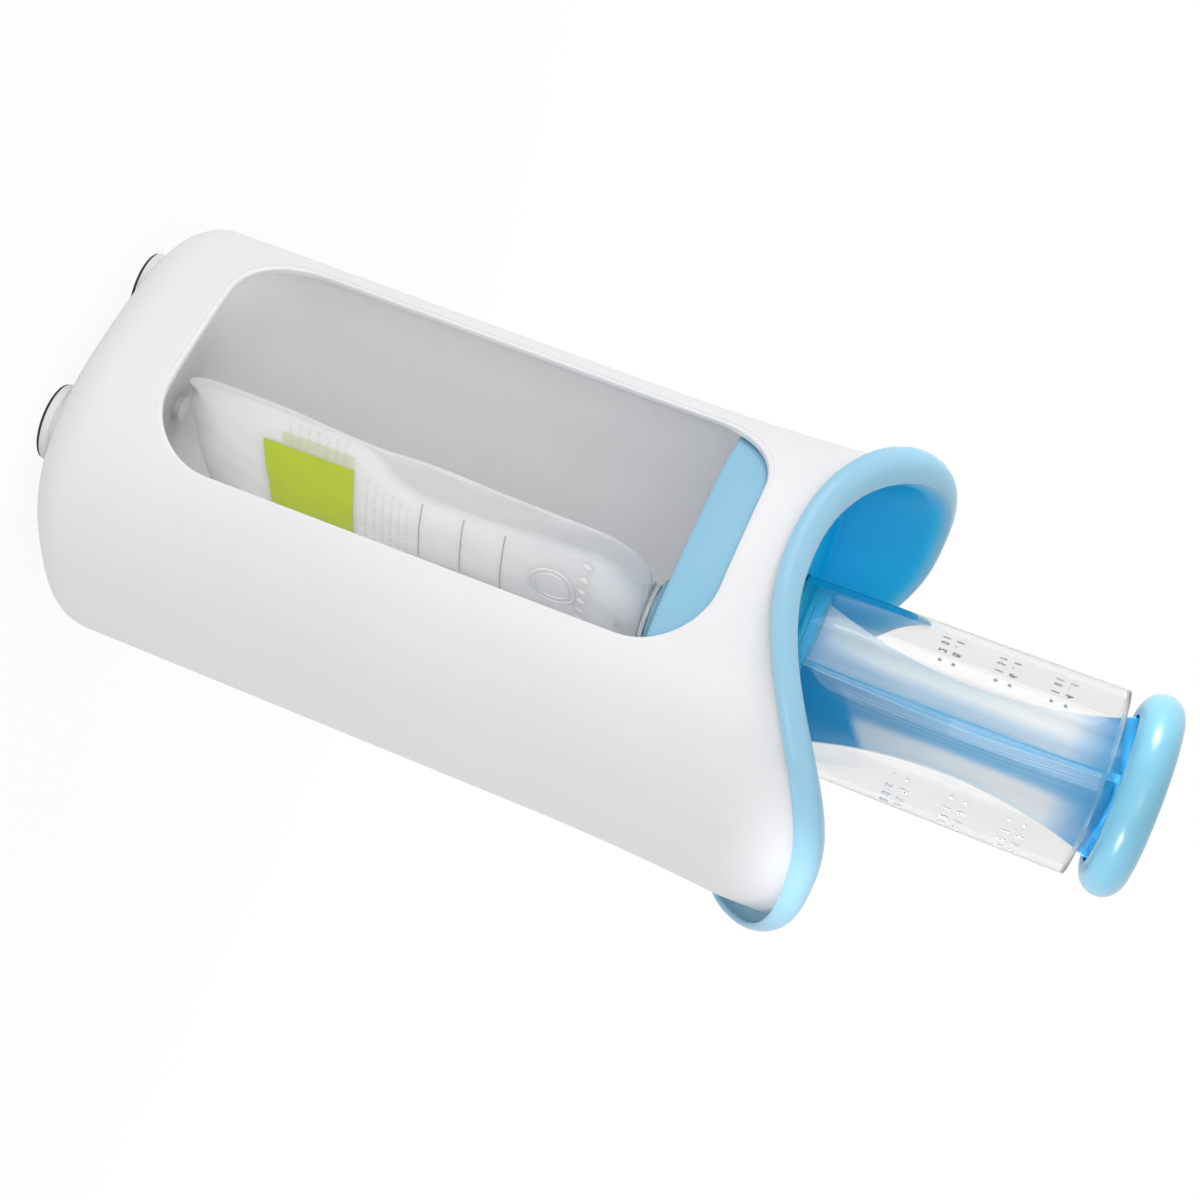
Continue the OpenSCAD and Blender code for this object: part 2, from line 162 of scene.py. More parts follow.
table_mesh = bpy.data.meshes.new("table_top")
table_corners = [(x * TABLE_HALF, y * TABLE_HALF, 0) for x, y in ((-1, -1), (1, -1), (1, 1), (-1, 1))]
table_mesh.from_pydata(table_corners, [], [(0, 1, 2, 3)])
table = bpy.data.objects.new("table_top", table_mesh)
scene.collection.objects.link(table)
table_mesh.materials.append(table_paint)

# ---------------------------------------------------------------------------
# Feet
# Four round cups of white plastic under the housing's floor, each with a thin
# black rubber pad pushed in from below. A steel screw from inside holds each.

MM = 0.001
LEAN = 2.2                  # how far the housing leans back from its foot to its top, in mm
COLLAR_SHARE = 0.886        # share of the lean at the middle of the collar
AXIS_Y = -COLLAR_SHARE * LEAN  # the tube's axis, in front of the middle of the collar
FOOT_AT = (22.5, 21.0)
FOOT_R = 9.3
CUP_WALL = 0.7
CUP_SHOULDER_Z = (2.4, 2.9)
PAD_H = 1.0
CUP_RIM_Z = PAD_H - 0.3
PAD_STEP_Z = PAD_H - 0.35
UNDERSIDE_Z = 3.6
LATHE_STEPS = 128
FOOT_STEPS = 64
ARC_STEPS = 4
LONGEST_ARC = 0.45          # share of a side that an arc at its end may take


def rounded(corners, closed=True):
    """Points along a line through (x, y, radius) corners with an arc at each."""
    points = []
    count = len(corners)
    for i, (x, y, radius) in enumerate(corners):
        here = Vector((x, y))
        if radius == 0 or not closed and i in (0, count - 1):
            points.append((x, y))
            continue
        before = Vector(corners[i - 1][:2]) - here
        after = Vector(corners[(i + 1) % count][:2]) - here
        reach = min(radius, before.length * LONGEST_ARC, after.length * LONGEST_ARC)
        first = here + before.normalized() * reach
        last = here + after.normalized() * reach
        for k in range(ARC_STEPS + 1):
            t = k / ARC_STEPS
            points.append(tuple((1 - t) ** 2 * first + 2 * t * (1 - t) * here + t * t * last))
    return points


def lathe(profile, at=(0, 0), steps=LATHE_STEPS):
    """Points and faces of a closed (radius, height) profile turned about an upright axis."""
    points = []
    faces = []
    rows = []
    for radius, height in profile:
        if radius < 1e-6:
            rows.append([len(points)])
            points.append((at[0], at[1], height))
            continue
        rows.append(range(len(points), len(points) + steps))
        for k in range(steps):
            turn = 2 * math.pi * k / steps
            points.append((at[0] + radius * math.cos(turn), at[1] + radius * math.sin(turn), height))
    for i, low in enumerate(rows):
        high = rows[(i + 1) % len(rows)]
        if len(low) == 1 and len(high) == 1:
            continue
        for k in range(steps):
            j = (k + 1) % steps
            if len(low) == 1:
                faces.append((low[0], high[j], high[k]))
            elif len(high) == 1:
                faces.append((low[k], low[j], high[0]))
            else:
                faces.append((low[k], low[j], high[j], high[k]))
    return points, faces


def build(name, shells, finish, body, slot, *nodes, sharp=32):
    """Piece from (points, faces) shells in mm about the tube's axis, smooth up to the sharp angle."""
    bm = bmesh.new()
    for points, faces in shells:
        verts = [bm.verts.new((x * MM, (y + AXIS_Y) * MM, z * MM)) for x, y, z in points]
        for face in faces:
            bm.faces.new([verts[i] for i in face])
    bmesh.ops.recalc_face_normals(bm, faces=bm.faces)
    limit = math.radians(sharp)
    for face in bm.faces:
        face.smooth = True
    for edge in bm.edges:
        edge.smooth = edge.calc_face_angle(0) < limit
    mesh = bpy.data.meshes.new(name)
    bm.to_mesh(mesh)
    bm.free()
    mesh.materials.append(finish)
    piece = bpy.data.objects.new(name, mesh)
    scene.collection.objects.link(piece)
    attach(piece, body)
    if nodes:
        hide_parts(*nodes)
    return piece


FLOW_SCALE = 22
FLOW_DETAIL = 3
FLOW_BAND = (0.3, 0.7)
PEEL_DETAIL = 2
GLOSS_SPREAD = 0.12
FLAT_SPECULAR = 0.5
SHADE_SPECULAR = 0.12


def moulded(name, colour, deep=None, rough=0.3, coat=0.0, depth=0.03, mottle=0.012, glow_through=0.0,
            reach=0.002, ior=1.49, coat_rough=0.06, peel_scale=900, peel_height=0.0002, more=None):
    """Moulded plastic: faint flow marks in the colour, an uneven gloss and fine orange peel.

    Where a piece has the attribute "shade", which holds painted light and shade, its colour goes over
    to the deep one and its gloss dulls. Any other inputs of the shader are given by name in more.
    """
    finish = bpy.data.materials.new(name)
    finish.use_nodes = True
    tree = finish.node_tree
    shader = tree.nodes["Principled BSDF"]
    place = add_node(tree, "TexCoord").outputs["Object"]
    flow = add_node(tree, "TexNoise", {"Vector": place, "Scale": FLOW_SCALE, "Detail": FLOW_DETAIL})
    flow = flow.outputs["Fac"]
    ramp = add_node(tree, "ValToRGB", {"Fac": flow})
    darker, paler = ramp.color_ramp.elements
    darker.position, paler.position = FLOW_BAND
    darker.color = [c * (1 - mottle) for c in colour] + [1]
    paler.color = [min(1, c * (1 + mottle)) for c in colour] + [1]
    base = ramp.outputs["Color"]
    if deep:
        shade = add_node(tree, "Attribute")
        shade.attribute_name = "shade"
        blend = add_node(tree, "Mix")
        blend.data_type = "RGBA"
        feed(tree, blend, {"A": base, "B": list(deep) + [1], "Factor": shade.outputs["Fac"]})
        base = blend.outputs["Result"]
        dull = add_node(tree, "MapRange", {
            "Value": shade.outputs["Fac"], "To Min": FLAT_SPECULAR, "To Max": SHADE_SPECULAR,
        })
        feed(tree, shader, {"Specular IOR Level": dull.outputs["Result"]})
    gloss = add_node(tree, "MapRange", {
        "Value": flow, "To Min": rough * (1 - GLOSS_SPREAD), "To Max": rough * (1 + GLOSS_SPREAD),
    })
    peel = add_node(tree, "TexNoise", {"Vector": place, "Scale": peel_scale, "Detail": PEEL_DETAIL})
    bump = add_node(tree, "Bump", {
        "Height": peel.outputs["Fac"], "Strength": depth, "Distance": peel_height,
    })
    feed(tree, shader, {
        "Base Color": base, "Roughness": gloss.outputs["Result"], "Normal": bump.outputs["Normal"],
        "IOR": ior, "Coat Weight": coat, "Coat Roughness": coat_rough,
    })
    if glow_through:
        feed(tree, shader, {
            "Subsurface Weight": glow_through, "Subsurface Radius": (1, 1, 1), "Subsurface Scale": reach,
        })
    feed(tree, shader, more or {})
    return finish


def shade_points(piece, values):
    """Gives each point of a piece its share of painted shade, which takes its colour to the deep one."""
    share = piece.data.attributes.new("shade", "FLOAT", "POINT")
    for point, value in zip(share.data, values):
        point.value = value


white_plastic = moulded("white_plastic", (0.82, 0.82, 0.835), rough=0.38)
black_rubber = moulded("black_rubber", (0.012, 0.012, 0.014), rough=0.62, depth=0.2, mottle=0.1)
cup_profile = rounded([
    (0, PAD_H, 0), (FOOT_R - CUP_WALL, PAD_H, 0.1), (FOOT_R - CUP_WALL, CUP_RIM_Z, 0.1),
    (FOOT_R, CUP_RIM_Z, 0.25), (FOOT_R - 0.15, CUP_SHOULDER_Z[0], 0.4),
    (FOOT_R - 0.9, CUP_SHOULDER_Z[1], 0.4), (FOOT_R - 1.3, UNDERSIDE_Z, 0), (0, UNDERSIDE_Z, 0),
])
pad_profile = rounded([
    (0, 0, 0), (FOOT_R - 1.3, 0, 0), (FOOT_R - 0.3, 0, 0.25), (FOOT_R - 0.2, PAD_STEP_Z, 0.1),
    (FOOT_R - CUP_WALL - 0.05, PAD_STEP_Z, 0.1), (FOOT_R - CUP_WALL - 0.05, PAD_H, 0.1), (0, PAD_H, 0),
])
for across, side in ((-1, "left"), (1, "right")):
    for along, end in ((-1, "front"), (1, "back")):
        at = (across * FOOT_AT[0], along * FOOT_AT[1])
        tag = end + "_" + side
        build("foot_" + tag, [lathe(cup_profile, at, FOOT_STEPS)], white_plastic,
              "station", "white_plastic", "foot_cup_" + tag)
        build("pad_" + tag, [lathe(pad_profile, at, FOOT_STEPS)], black_rubber,
              "station", "black_rubber", "foot_pad_" + tag)


def dress(node, finish):
    """Gives a solid of the CAD model, used as it is, its finish."""
    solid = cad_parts[node]
    solid.data.materials.clear()
    solid.data.materials.append(finish)


# The screws are the CAD model's own solids, in plain turned steel
screw_steel = moulded("screw_steel", (0.85, 0.85, 0.86), rough=0.35, depth=0.08, mottle=0.04,
                      more={"Metallic": 1})
dress("foot_screws", screw_steel)

# ---------------------------------------------------------------------------
# Housing
# One moulded shell of white plastic, oval, with a rounded bottom edge, a wall
# that flares under the collar and a round-cornered window for the pouch.

HALF_W = 49.0
HALF_D = 43.0
SQUARENESS = 2.75   # 2 is a plain oval, and more is squarer
DRAFT = 1.0
FLARE = 1.8
FLARE_Z = (130.0, 180.0)
WALL = 2.2
FLOOR_T = 2.4
BOTTOM_R = 12.0
DIP_Z = 167.4       # the rim's height at its dips, before its tilt
LOBE_RISE = 27.0
LOBE_POWER = 2.2
COLLAR_TILT = 1.9
EDGE_UP = 3.2       # how far the shell reaches up into the collar
WINDOW_HALF = (32.25, 66.0)
WINDOW_R = 17.0
WINDOW_Z = 93.0
FRAME_W = 7.0       # band of wall about the window that has its own mesh
FRAME_WIDENING = 0.5  # the wall's widening beside the middle of that band
FRAME_SHARES = (1, 0.82, 0.62, 0.42, 0.24, 0.1, 0)
EDGE_ROUND = 1.2    # width of the sunk, rounded edge of the window
EDGE_STEP = 0.2     # depth at which that edge starts
EDGE_CURVE = [      # that edge as (out, inset), from the wall's face to its inner side
    (-EDGE_STEP, 0.06), (-EDGE_STEP - 0.05, 0.5), (-EDGE_STEP - 0.15, 0.85), (-EDGE_STEP - 0.35, 1.08),
    (-EDGE_STEP - 0.7, EDGE_ROUND), (-WALL + 0.4, EDGE_ROUND), (-WALL + 0.12, 0.9),
]
SIDE_STEPS = 22
TOP_STEPS = 10
CORNER_STEPS = 16
REST_STEPS = 190    # steps of the oval round the sides and the back
FINE_STEPS = 4000
BOTTOM_SHARES = (0.2, 0.45, 0.7, 0.88)
BOTTOM_STEPS = 12
RIM_STEPS = 10


def widening(z):
    """How far the wall stands outside the plain oval at height z."""
    z = min(z, FLARE_Z[1])
    t = max(0.0, (z - FLARE_Z[0]) / (FLARE_Z[1] - FLARE_Z[0]))
    return DRAFT * z / FLARE_Z[0] + FLARE * t * t


def on_wall(unit, out, z):
    """Point of the wall for a point of the unit oval, moved out by the distance out."""
    wide = widening(z) + out
    back = LEAN * min(z, FLARE_Z[1]) / FLARE_Z[1]
    return ((HALF_W + wide) * unit[0], (HALF_D + wide) * unit[1] + back, z)


def rim_z(unit):
    """Height of the collar's lower edge."""
    return DIP_Z + LOBE_RISE * abs(unit[0]) ** LOBE_POWER - COLLAR_TILT * unit[1]


def front_unit(ux):
    """Point of the unit oval at the front for its width coordinate."""
    return (ux, -max(0.0, 1 - abs(ux) ** SQUARENESS) ** (1 / SQUARENESS))


def even_oval(first, last, count):
    """Points of the unit oval, evenly spaced, from one front coordinate round the back to the other."""
    fine = []
    start = math.asin(-min(1, (1 - first ** SQUARENESS) ** (1 / 2)))
    stop = math.pi - start
    for k in range(FINE_STEPS + 1):
        turn = start + (stop - start) * k / FINE_STEPS
        c, s = math.cos(turn), math.sin(turn)
        fine.append(tuple(math.copysign(abs(part) ** (2 / SQUARENESS), part) for part in (c, s)))
    run = [0.0]
    for p, q in zip(fine, fine[1:]):
        run.append(run[-1] + math.hypot((q[0] - p[0]) * HALF_W, (q[1] - p[1]) * HALF_D))
    points = []
    k = 0
    for i in range(1, count):
        goal = run[-1] * i / count
        while run[k + 1] < goal:
            k += 1
        t = (goal - run[k]) / (run[k + 1] - run[k])
        points.append(tuple(a + (b - a) * t for a, b in zip(fine[k], fine[k + 1])))
    return [front_unit(first)] + points + [front_unit(last)]


# Window outline and the plain frame round it, point by point, from the right side upwards
frame_half = (WINDOW_HALF[0] + FRAME_W, WINDOW_HALF[1] + FRAME_W)
corner = (WINDOW_HALF[0] - WINDOW_R, WINDOW_HALF[1] - WINDOW_R)
window_line = []
frame_line = []
for k in range(SIDE_STEPS // 2):
    z = corner[1] * k / (SIDE_STEPS // 2)
    window_line.append((WINDOW_HALF[0], z))
    frame_line.append((frame_half[0], z))
for k in range(CORNER_STEPS + 1):
    turn = math.pi / 2 * k / CORNER_STEPS
    c, s = math.cos(turn), math.sin(turn)
    window_line.append((corner[0] + WINDOW_R * c, corner[1] + WINDOW_R * s))
    reach = (WINDOW_R + FRAME_W) / max(c, s)
    frame_line.append((corner[0] + reach * c, corner[1] + reach * s))
for k in range(1, TOP_STEPS // 2 + 1):
    x = corner[0] * (1 - k / (TOP_STEPS // 2))
    window_line.append((x, WINDOW_HALF[1]))
    frame_line.append((x, frame_half[1]))
for line in (window_line, frame_line):
    line.extend([(-x, z) for x, z in reversed(line[:-1])])
    line.extend([(x, -z) for x, z in reversed(line[1:-1])])

# The oval: its sides and back in even steps, and its front with a point for each point of the frame
FRAME_UNIT = frame_half[0] / (HALF_W + FRAME_WIDENING)
front_columns = sorted({round(x / frame_half[0] * FRAME_UNIT, 6) for x, z in frame_line})
side_rows = sorted({round(z + WINDOW_Z, 5) for x, z in frame_line})
rest = even_oval(FRAME_UNIT, -FRAME_UNIT, REST_STEPS)
oval = rest + [front_unit(ux) for ux in front_columns[1:-1]]


def stitch(faces, low, high, closed=True):
    """Adds faces between two rings, or between two rows that stay open."""
    count = len(low)
    for i in range(count if closed else count - 1):
        j = (i + 1) % count
        faces.append((low[i], low[j], high[j], high[i]))


def shell_side(out, underside, corner_r):
    """Points, faces, window ring and rim ring of the inner or outer side of the shell."""
    points = []
    faces = []
    index = {}

    def add(point):
        """Number of a point, the same one where two parts of the side meet."""
        key = tuple(round(c, 4) for c in point)
        if key not in index:
            index[key] = len(points)
            points.append(point)
        return index[key]

    # Flat bottom and the rounded edge round it
    rows = []
    for share in BOTTOM_SHARES:
        rows.append([add((x * share, y * share, underside))
                     for x, y, z in (on_wall(u, out - corner_r, underside + corner_r) for u in oval)])
    faces.append(tuple(rows[0]))
    for k in range(BOTTOM_STEPS + 1):
        turn = math.pi / 2 * k / BOTTOM_STEPS
        ring = []
        for u in oval:
            x, y, z = on_wall(u, out - corner_r * (1 - math.sin(turn)), underside + corner_r)
            ring.append(add((x, y, underside + corner_r * (1 - math.cos(turn)))))
        rows.append(ring)
    rows.append([add(on_wall(u, out, side_rows[0])) for u in oval])
    for low, high in zip(rows, rows[1:]):
        stitch(faces, low, high)

    # Wall beside and behind the window, then the closed wall above it
    sides = [[add(on_wall(u, out, z)) for u in rest] for z in side_rows]
    for low, high in zip(sides, sides[1:]):
        stitch(faces, low, high, closed=False)
    top = [[add(on_wall(u, out, side_rows[-1])) for u in oval]]
    for k in range(1, RIM_STEPS + 1):
        ring = []
        for u in oval:
            height = side_rows[-1] + (rim_z(u) + EDGE_UP - side_rows[-1]) * k / RIM_STEPS
            ring.append(add(on_wall(u, out, height)))
        top.append(ring)
    for low, high in zip(top, top[1:]):
        stitch(faces, low, high)

    # Frame of the window, from its outer line in to the window's edge
    rings = []
    for t in FRAME_SHARES:
        ring = []
        for window_point, frame_point in zip(window_line, frame_line):
            edge_x = window_point[0] * (1 + EDGE_ROUND / WINDOW_HALF[0])
            edge_z = window_point[1] * (1 + EDGE_ROUND / WINDOW_HALF[1])
            z = WINDOW_Z + edge_z + (frame_point[1] - edge_z) * t
            frame_x = frame_point[0] / frame_half[0] * FRAME_UNIT * (HALF_W + widening(z) + out)
            x = edge_x + (frame_x - edge_x) * t
            ring.append(add(on_wall(front_unit(x / (HALF_W + widening(z) + out)), out, z)))
        rings.append(ring)
    for wide, narrow in zip(rings, rings[1:]):
        stitch(faces, wide, narrow)
    return points, faces, rings[-1], top[-1]


def window_ring(out, inset):
    """Points of the window's edge at a depth of the wall, inset from its rounded start."""
    ring = []
    for x, z in window_line:
        grow = EDGE_ROUND - inset
        x *= 1 + grow / WINDOW_HALF[0]
        z = WINDOW_Z + z * (1 + grow / WINDOW_HALF[1])
        ring.append(on_wall(front_unit(x / (HALF_W + widening(z) + out)), out, z))
    return ring


outer_points, outer_faces, outer_window, outer_rim = shell_side(0, UNDERSIDE_Z, BOTTOM_R)
inner_points, inner_faces, inner_window, inner_rim = shell_side(
    -WALL, UNDERSIDE_Z + FLOOR_T, BOTTOM_R - WALL)
first_inner = len(outer_points)
first_edge = first_inner + len(inner_points)
shell_points = outer_points + inner_points
shell_faces = outer_faces + [tuple(i + first_inner for i in face) for face in inner_faces]
edge_rings = [outer_window]
for out, inset in EDGE_CURVE:
    ring = window_ring(out, inset)
    edge_rings.append(range(len(shell_points), len(shell_points) + len(ring)))
    shell_points.extend(ring)
edge_rings.append([i + first_inner for i in inner_window])
rim_rings = [outer_rim, [i + first_inner for i in inner_rim]]
for rings in (edge_rings, rim_rings):
    for low, high in zip(rings, rings[1:]):
        stitch(shell_faces, low, high)
shell = build("housing_shell", [(shell_points, shell_faces)], white_plastic,
              "station", "white_plastic", "housing")

# Thin white plastic that daylight comes through, on the inner side of the shell, its colour a little darker
# than the outer side's as painted shade
shaded_lit_through_white = moulded("shaded_lit_through_white", (0.79, 0.78, 0.78), rough=0.4, glow_through=1, reach=0.008)
shell.data.materials.append(shaded_lit_through_white)
for face in shell.data.polygons:
    inside = all(first_inner <= i < first_edge for i in face.vertices)
    face.material_index = 1 if inside else 0

# ---------------------------------------------------------------------------
# Collar
# A rolled lip of light blue plastic pushed over the shell's upper edge. It dips
# at the front and the back and rises to a lobe on each side.

LIP = [      # section as (out from the wall, up from the rim), from its outer edge over into the bowl
    (4.1, 0.0), (4.35, 0.7), (4.4, 1.6), (4.25, 2.6), (3.85, 3.7), (3.1, 4.8), (2.1, 5.55), (0.9, 5.95),
    (-0.4, 6.1), (-1.5, 6.0), (-2.2, 5.75), (-2.45, 5.5), (-2.55, 5.1), (-2.85, 4.3), (-3.35, 3.4),
    (-3.75, 2.4), (-3.95, 1.2), (-4.0, 0.0),
]
CHANNEL = [  # section of the hollow under the lip, from the shell's inner side back to the outer edge
    (-2.4, 3.3), (-1.4, 4.3), (0.4, 4.7), (1.9, 4.1), (2.8, 3.1), (3.0, 1.6), (3.1, 0.3), (3.5, -0.12),
]
COLLAR_FOOT_Z = 168.0
COLLAR_IN = -4.0
COLLAR_OUT = -2.4
BOWL_SHARES = (0.8, 0.6, 0.4, 0.2, 0.0)
BACK_SHARES = (0.0, 0.3, 0.6)


def bowl_ring(out, up, share):
    """Ring of the bowl's wall, a share of the way up from its foot to the rim."""
    return [on_wall(u, out, COLLAR_FOOT_Z + (rim_z(u) + up - COLLAR_FOOT_Z) * share) for u in oval]


collar_rings = [[on_wall(u, out, rim_z(u) + up) for u in oval] for out, up in LIP]
collar_rings += [bowl_ring(COLLAR_IN, 0, share) for share in BOWL_SHARES]
collar_rings += [bowl_ring(COLLAR_OUT, CHANNEL[0][1], share) for share in BACK_SHARES]
collar_rings += [[on_wall(u, out, rim_z(u) + up) for u in oval] for out, up in CHANNEL]


def band(rings):
    """Points and faces of a closed band through rings of equal length."""
    count = len(rings[0])
    rows = [range(r * count, (r + 1) * count) for r in range(len(rings))]
    faces = []
    for low, high in zip(rows, rows[1:] + rows[:1]):
        stitch(faces, low, high)
    return [point for ring in rings for point in ring], faces


# Its deep blue is painted shade, for the inside of the lip and the bowl's wall
collar_blue = moulded("collar_blue", (0.31, 0.575, 0.745), deep=(0.02, 0.53, 0.9), rough=0.26, ior=1.33)
collar = build("collar_lip", [band(collar_rings)], collar_blue,
               "station", "blue_plastic", "collar", sharp=40)

# The lip keeps its pale blue; painted shade takes it over to a deep blue inside the lip and down the bowl's
# wall
lip_shades = [0.0] * 12 + [0.15, 0.5, 0.8, 0.95, 1.0, 1.0]
bowl_shades = [1.0] * len(BOWL_SHARES)
hidden_shades = [0.0] * (len(BACK_SHARES) + len(CHANNEL))
ring_shades = lip_shades + bowl_shades + hidden_shades
shade_points(collar, [value for value in ring_shades for _ in oval])

# ---------------------------------------------------------------------------
# Tray
# A blue tray pushed down into the collar. Its skirt shows through the window,
# and a well in the middle of its floor holds the tube over the pouch's spout.

FLOOR_Z = 174.0
PLATE_T = 2.6
SKIRT_Z = 148.0
SKIRT_LOOPS_Z = (160, 154)
TRAY_OUT = -4.2
SKIRT_OUT = -2.5
SKIRT_T = 4.4
SKIRT_MID = SKIRT_OUT - SKIRT_T / 2
WELL_R = 22.0
WELL_WALL = 1.9
WELL_Z = 164.2
WELL_BOTTOM_Z = 162.2
HUB_R = 12.0
SOCKET_R = 6.5
BORE_R = 4.5
SPOUT_STOP_Z = 157.8
CLIP_TOP_Z = 150.0
SHADE_ABOVE_Z = COLLAR_FOOT_Z - 5  # the tray is painted in shade, a deeper blue, above this height
angles = [math.atan2(u[1] * HALF_D, u[0] * HALF_W) for u in oval]


def level(out, z):
    """Ring of the oval wall at one height."""
    return [on_wall(u, out, z) for u in oval]


def circle(radius, z):
    """Round ring with a point for each point of the oval."""
    return [(radius * math.cos(a), radius * math.sin(a), z) for a in angles]


def between(ring_a, ring_b, t):
    """Ring part of the way from one ring to another."""
    return [tuple(p + (q - p) * t for p, q in zip(a, b)) for a, b in zip(ring_a, ring_b)]


well_lip = circle(WELL_R + 0.5, FLOOR_Z)
floor_edge = level(TRAY_OUT - 1.6, FLOOR_Z)
under_well = circle(WELL_R + WELL_WALL + 1.2, FLOOR_Z - PLATE_T)
under_edge = level(TRAY_OUT - 3.2, FLOOR_Z - PLATE_T)
tray_rings = [
    # Well, from the bore in its floor up to its lip
    circle(BORE_R, WELL_Z), circle(WELL_R - 0.6, WELL_Z), circle(WELL_R - 0.15, WELL_Z + 0.15),
    circle(WELL_R, WELL_Z + 0.6), circle(WELL_R, FLOOR_Z - 0.5),
    circle(WELL_R + 0.15, FLOOR_Z - 0.14), well_lip,
    # Tray's floor and the small turned-up edge round it
    between(well_lip, floor_edge, 0.1), between(well_lip, floor_edge, 0.4),
    between(well_lip, floor_edge, 0.7), between(well_lip, floor_edge, 0.95), floor_edge,
    level(TRAY_OUT - 0.7, FLOOR_Z + 0.22), level(TRAY_OUT - 0.25, FLOOR_Z + 0.7),
    level(TRAY_OUT - 0.12, FLOOR_Z + 1.3), level(TRAY_OUT - 0.02, FLOOR_Z + 1.2),
    level(TRAY_OUT, FLOOR_Z), level(TRAY_OUT, COLLAR_FOOT_Z),
    # Skirt, down its outside, round its lower edge and up its inside
    level(SKIRT_OUT - 0.4, COLLAR_FOOT_Z - 0.1), level(SKIRT_OUT - 0.1, COLLAR_FOOT_Z - 0.2),
    level(SKIRT_OUT, COLLAR_FOOT_Z - 0.6),
    level(SKIRT_OUT, SKIRT_LOOPS_Z[0]), level(SKIRT_OUT, SKIRT_LOOPS_Z[1]),
    level(SKIRT_OUT, SKIRT_Z + 1.3), level(SKIRT_OUT - 0.12, SKIRT_Z + 0.7),
    level(SKIRT_OUT - 0.5, SKIRT_Z + 0.2), level(SKIRT_OUT - 1.1, SKIRT_Z),
    level(SKIRT_OUT - 1.7, SKIRT_Z + 0.15), level(SKIRT_MID, SKIRT_Z + 0.8),
    level(SKIRT_MID, COLLAR_FOOT_Z - 3), level(SKIRT_OUT - SKIRT_T, COLLAR_FOOT_Z),
    # Underside of the floor, the well's outside, and the hub with the spout's socket
    level(SKIRT_OUT - SKIRT_T, FLOOR_Z - 4), under_edge, between(under_well, under_edge, 0.5), under_well,
    circle(WELL_R + WELL_WALL + 0.2, FLOOR_Z - 3.2), circle(WELL_R + WELL_WALL, FLOOR_Z - 4.5),
    circle(WELL_R + WELL_WALL, WELL_BOTTOM_Z + 1), circle(WELL_R + WELL_WALL - 0.3, WELL_BOTTOM_Z + 0.3),
    circle(WELL_R + WELL_WALL - 1, WELL_BOTTOM_Z), circle(HUB_R + 0.6, WELL_BOTTOM_Z),
    circle(HUB_R, WELL_BOTTOM_Z - 0.6), circle(HUB_R, CLIP_TOP_Z + 0.3), circle(HUB_R - 0.3, CLIP_TOP_Z),
    circle(SOCKET_R, CLIP_TOP_Z), circle(SOCKET_R, SPOUT_STOP_Z), circle(BORE_R, SPOUT_STOP_Z),
]
# Its deep blue is painted shade, for the floor and the well inside the collar's bowl
tray_blue = moulded("tray_blue", (0.27, 0.53, 0.705), deep=(0.0, 0.48, 0.92), rough=0.26, ior=1.33)

# Two posts under the tray take the clip's screws
EAR_X = 14.4
EAR_R = 3.6
EAR_HOLE_R = 1.2
EAR_STEPS = 48
ear_profile = rounded([
    (EAR_HOLE_R, CLIP_TOP_Z, 0.1), (EAR_R, CLIP_TOP_Z, 0.3),
    (EAR_R, WELL_BOTTOM_Z, 0), (EAR_HOLE_R, WELL_BOTTOM_Z, 0),
])
ears = [lathe(ear_profile, (side * EAR_X, 0), EAR_STEPS) for side in (-1, 1)]
tray = build("tray_body", [band(tray_rings)] + ears, tray_blue, "station", "blue_plastic", "tray")
# Painted shade: the floor and the well inside the bowl take the deep blue
shade_points(tray, [1.0 if z > SHADE_ABOVE_Z else 0.0 for ring in tray_rings for x, y, z in ring])

# ---------------------------------------------------------------------------
# Gasket, spout clip and its screws
# A flat silicone ring lies under the tube. Below the tray a blue ring clip,
# held by two screws, grips the pouch's spout.

CLIP_Z = 143.0
CLIP_R = 9.0
FLANGE_T = 2.4
CLIP_STEPS = 96
silicone = moulded("silicone", (0.8, 0.83, 0.85), rough=0.45, depth=0.1, glow_through=0.4)
dress("tube_gasket", silicone)
clip_profile = rounded([
    (SOCKET_R, CLIP_Z, 0.3), (CLIP_R, CLIP_Z, 0.6), (CLIP_R, CLIP_TOP_Z - FLANGE_T, 0.5),
    (HUB_R, CLIP_TOP_Z - FLANGE_T, 0.4), (HUB_R, CLIP_TOP_Z, 0.1), (SOCKET_R, CLIP_TOP_Z, 0.1),
])
tab_profile = rounded([
    (EAR_HOLE_R, CLIP_TOP_Z - FLANGE_T, 0.1), (EAR_R, CLIP_TOP_Z - FLANGE_T, 0.4),
    (EAR_R, CLIP_TOP_Z, 0.1), (EAR_HOLE_R, CLIP_TOP_Z, 0),
])
tabs = [lathe(tab_profile, (side * EAR_X, 0), EAR_STEPS) for side in (-1, 1)]
build("clip_ring", [lathe(clip_profile, steps=CLIP_STEPS)] + tabs, tray_blue,
      "station", "blue_plastic", "spout_clip")
dress("clip_screws", screw_steel)

# ---------------------------------------------------------------------------
# Measuring tube
# A clear plastic tube with a slight taper, a floor and a short nozzle, moulded in
# one. It stands in the tray's well, and its upper edge is ground dull.

TUBE_R = (21.6, 22.5)
TUBE_BORE_R = 20.4
TUBE_Z = (165.0, 252.3)
TUBE_FLOOR_Z = 167.5
NOZZLE_R = 3.9
NOZZLE_BORE_R = 2.9
NOZZLE_Z = 150.0
GROUND_H = 1.2
TUBE_STEPS = 192
TUBE_TINT = (0.9, 0.902, 0.905)
TUBE_GLINT = (0.92, 0.92, 0.92, 1)


def clear(name, rough):
    """Clear plastic with a faint waviness left by the mould."""
    return moulded(name, TUBE_TINT, rough=rough, depth=0.04, ior=1.3, peel_scale=60,
                   more={"Transmission Weight": 1, "Specular Tint": TUBE_GLINT})


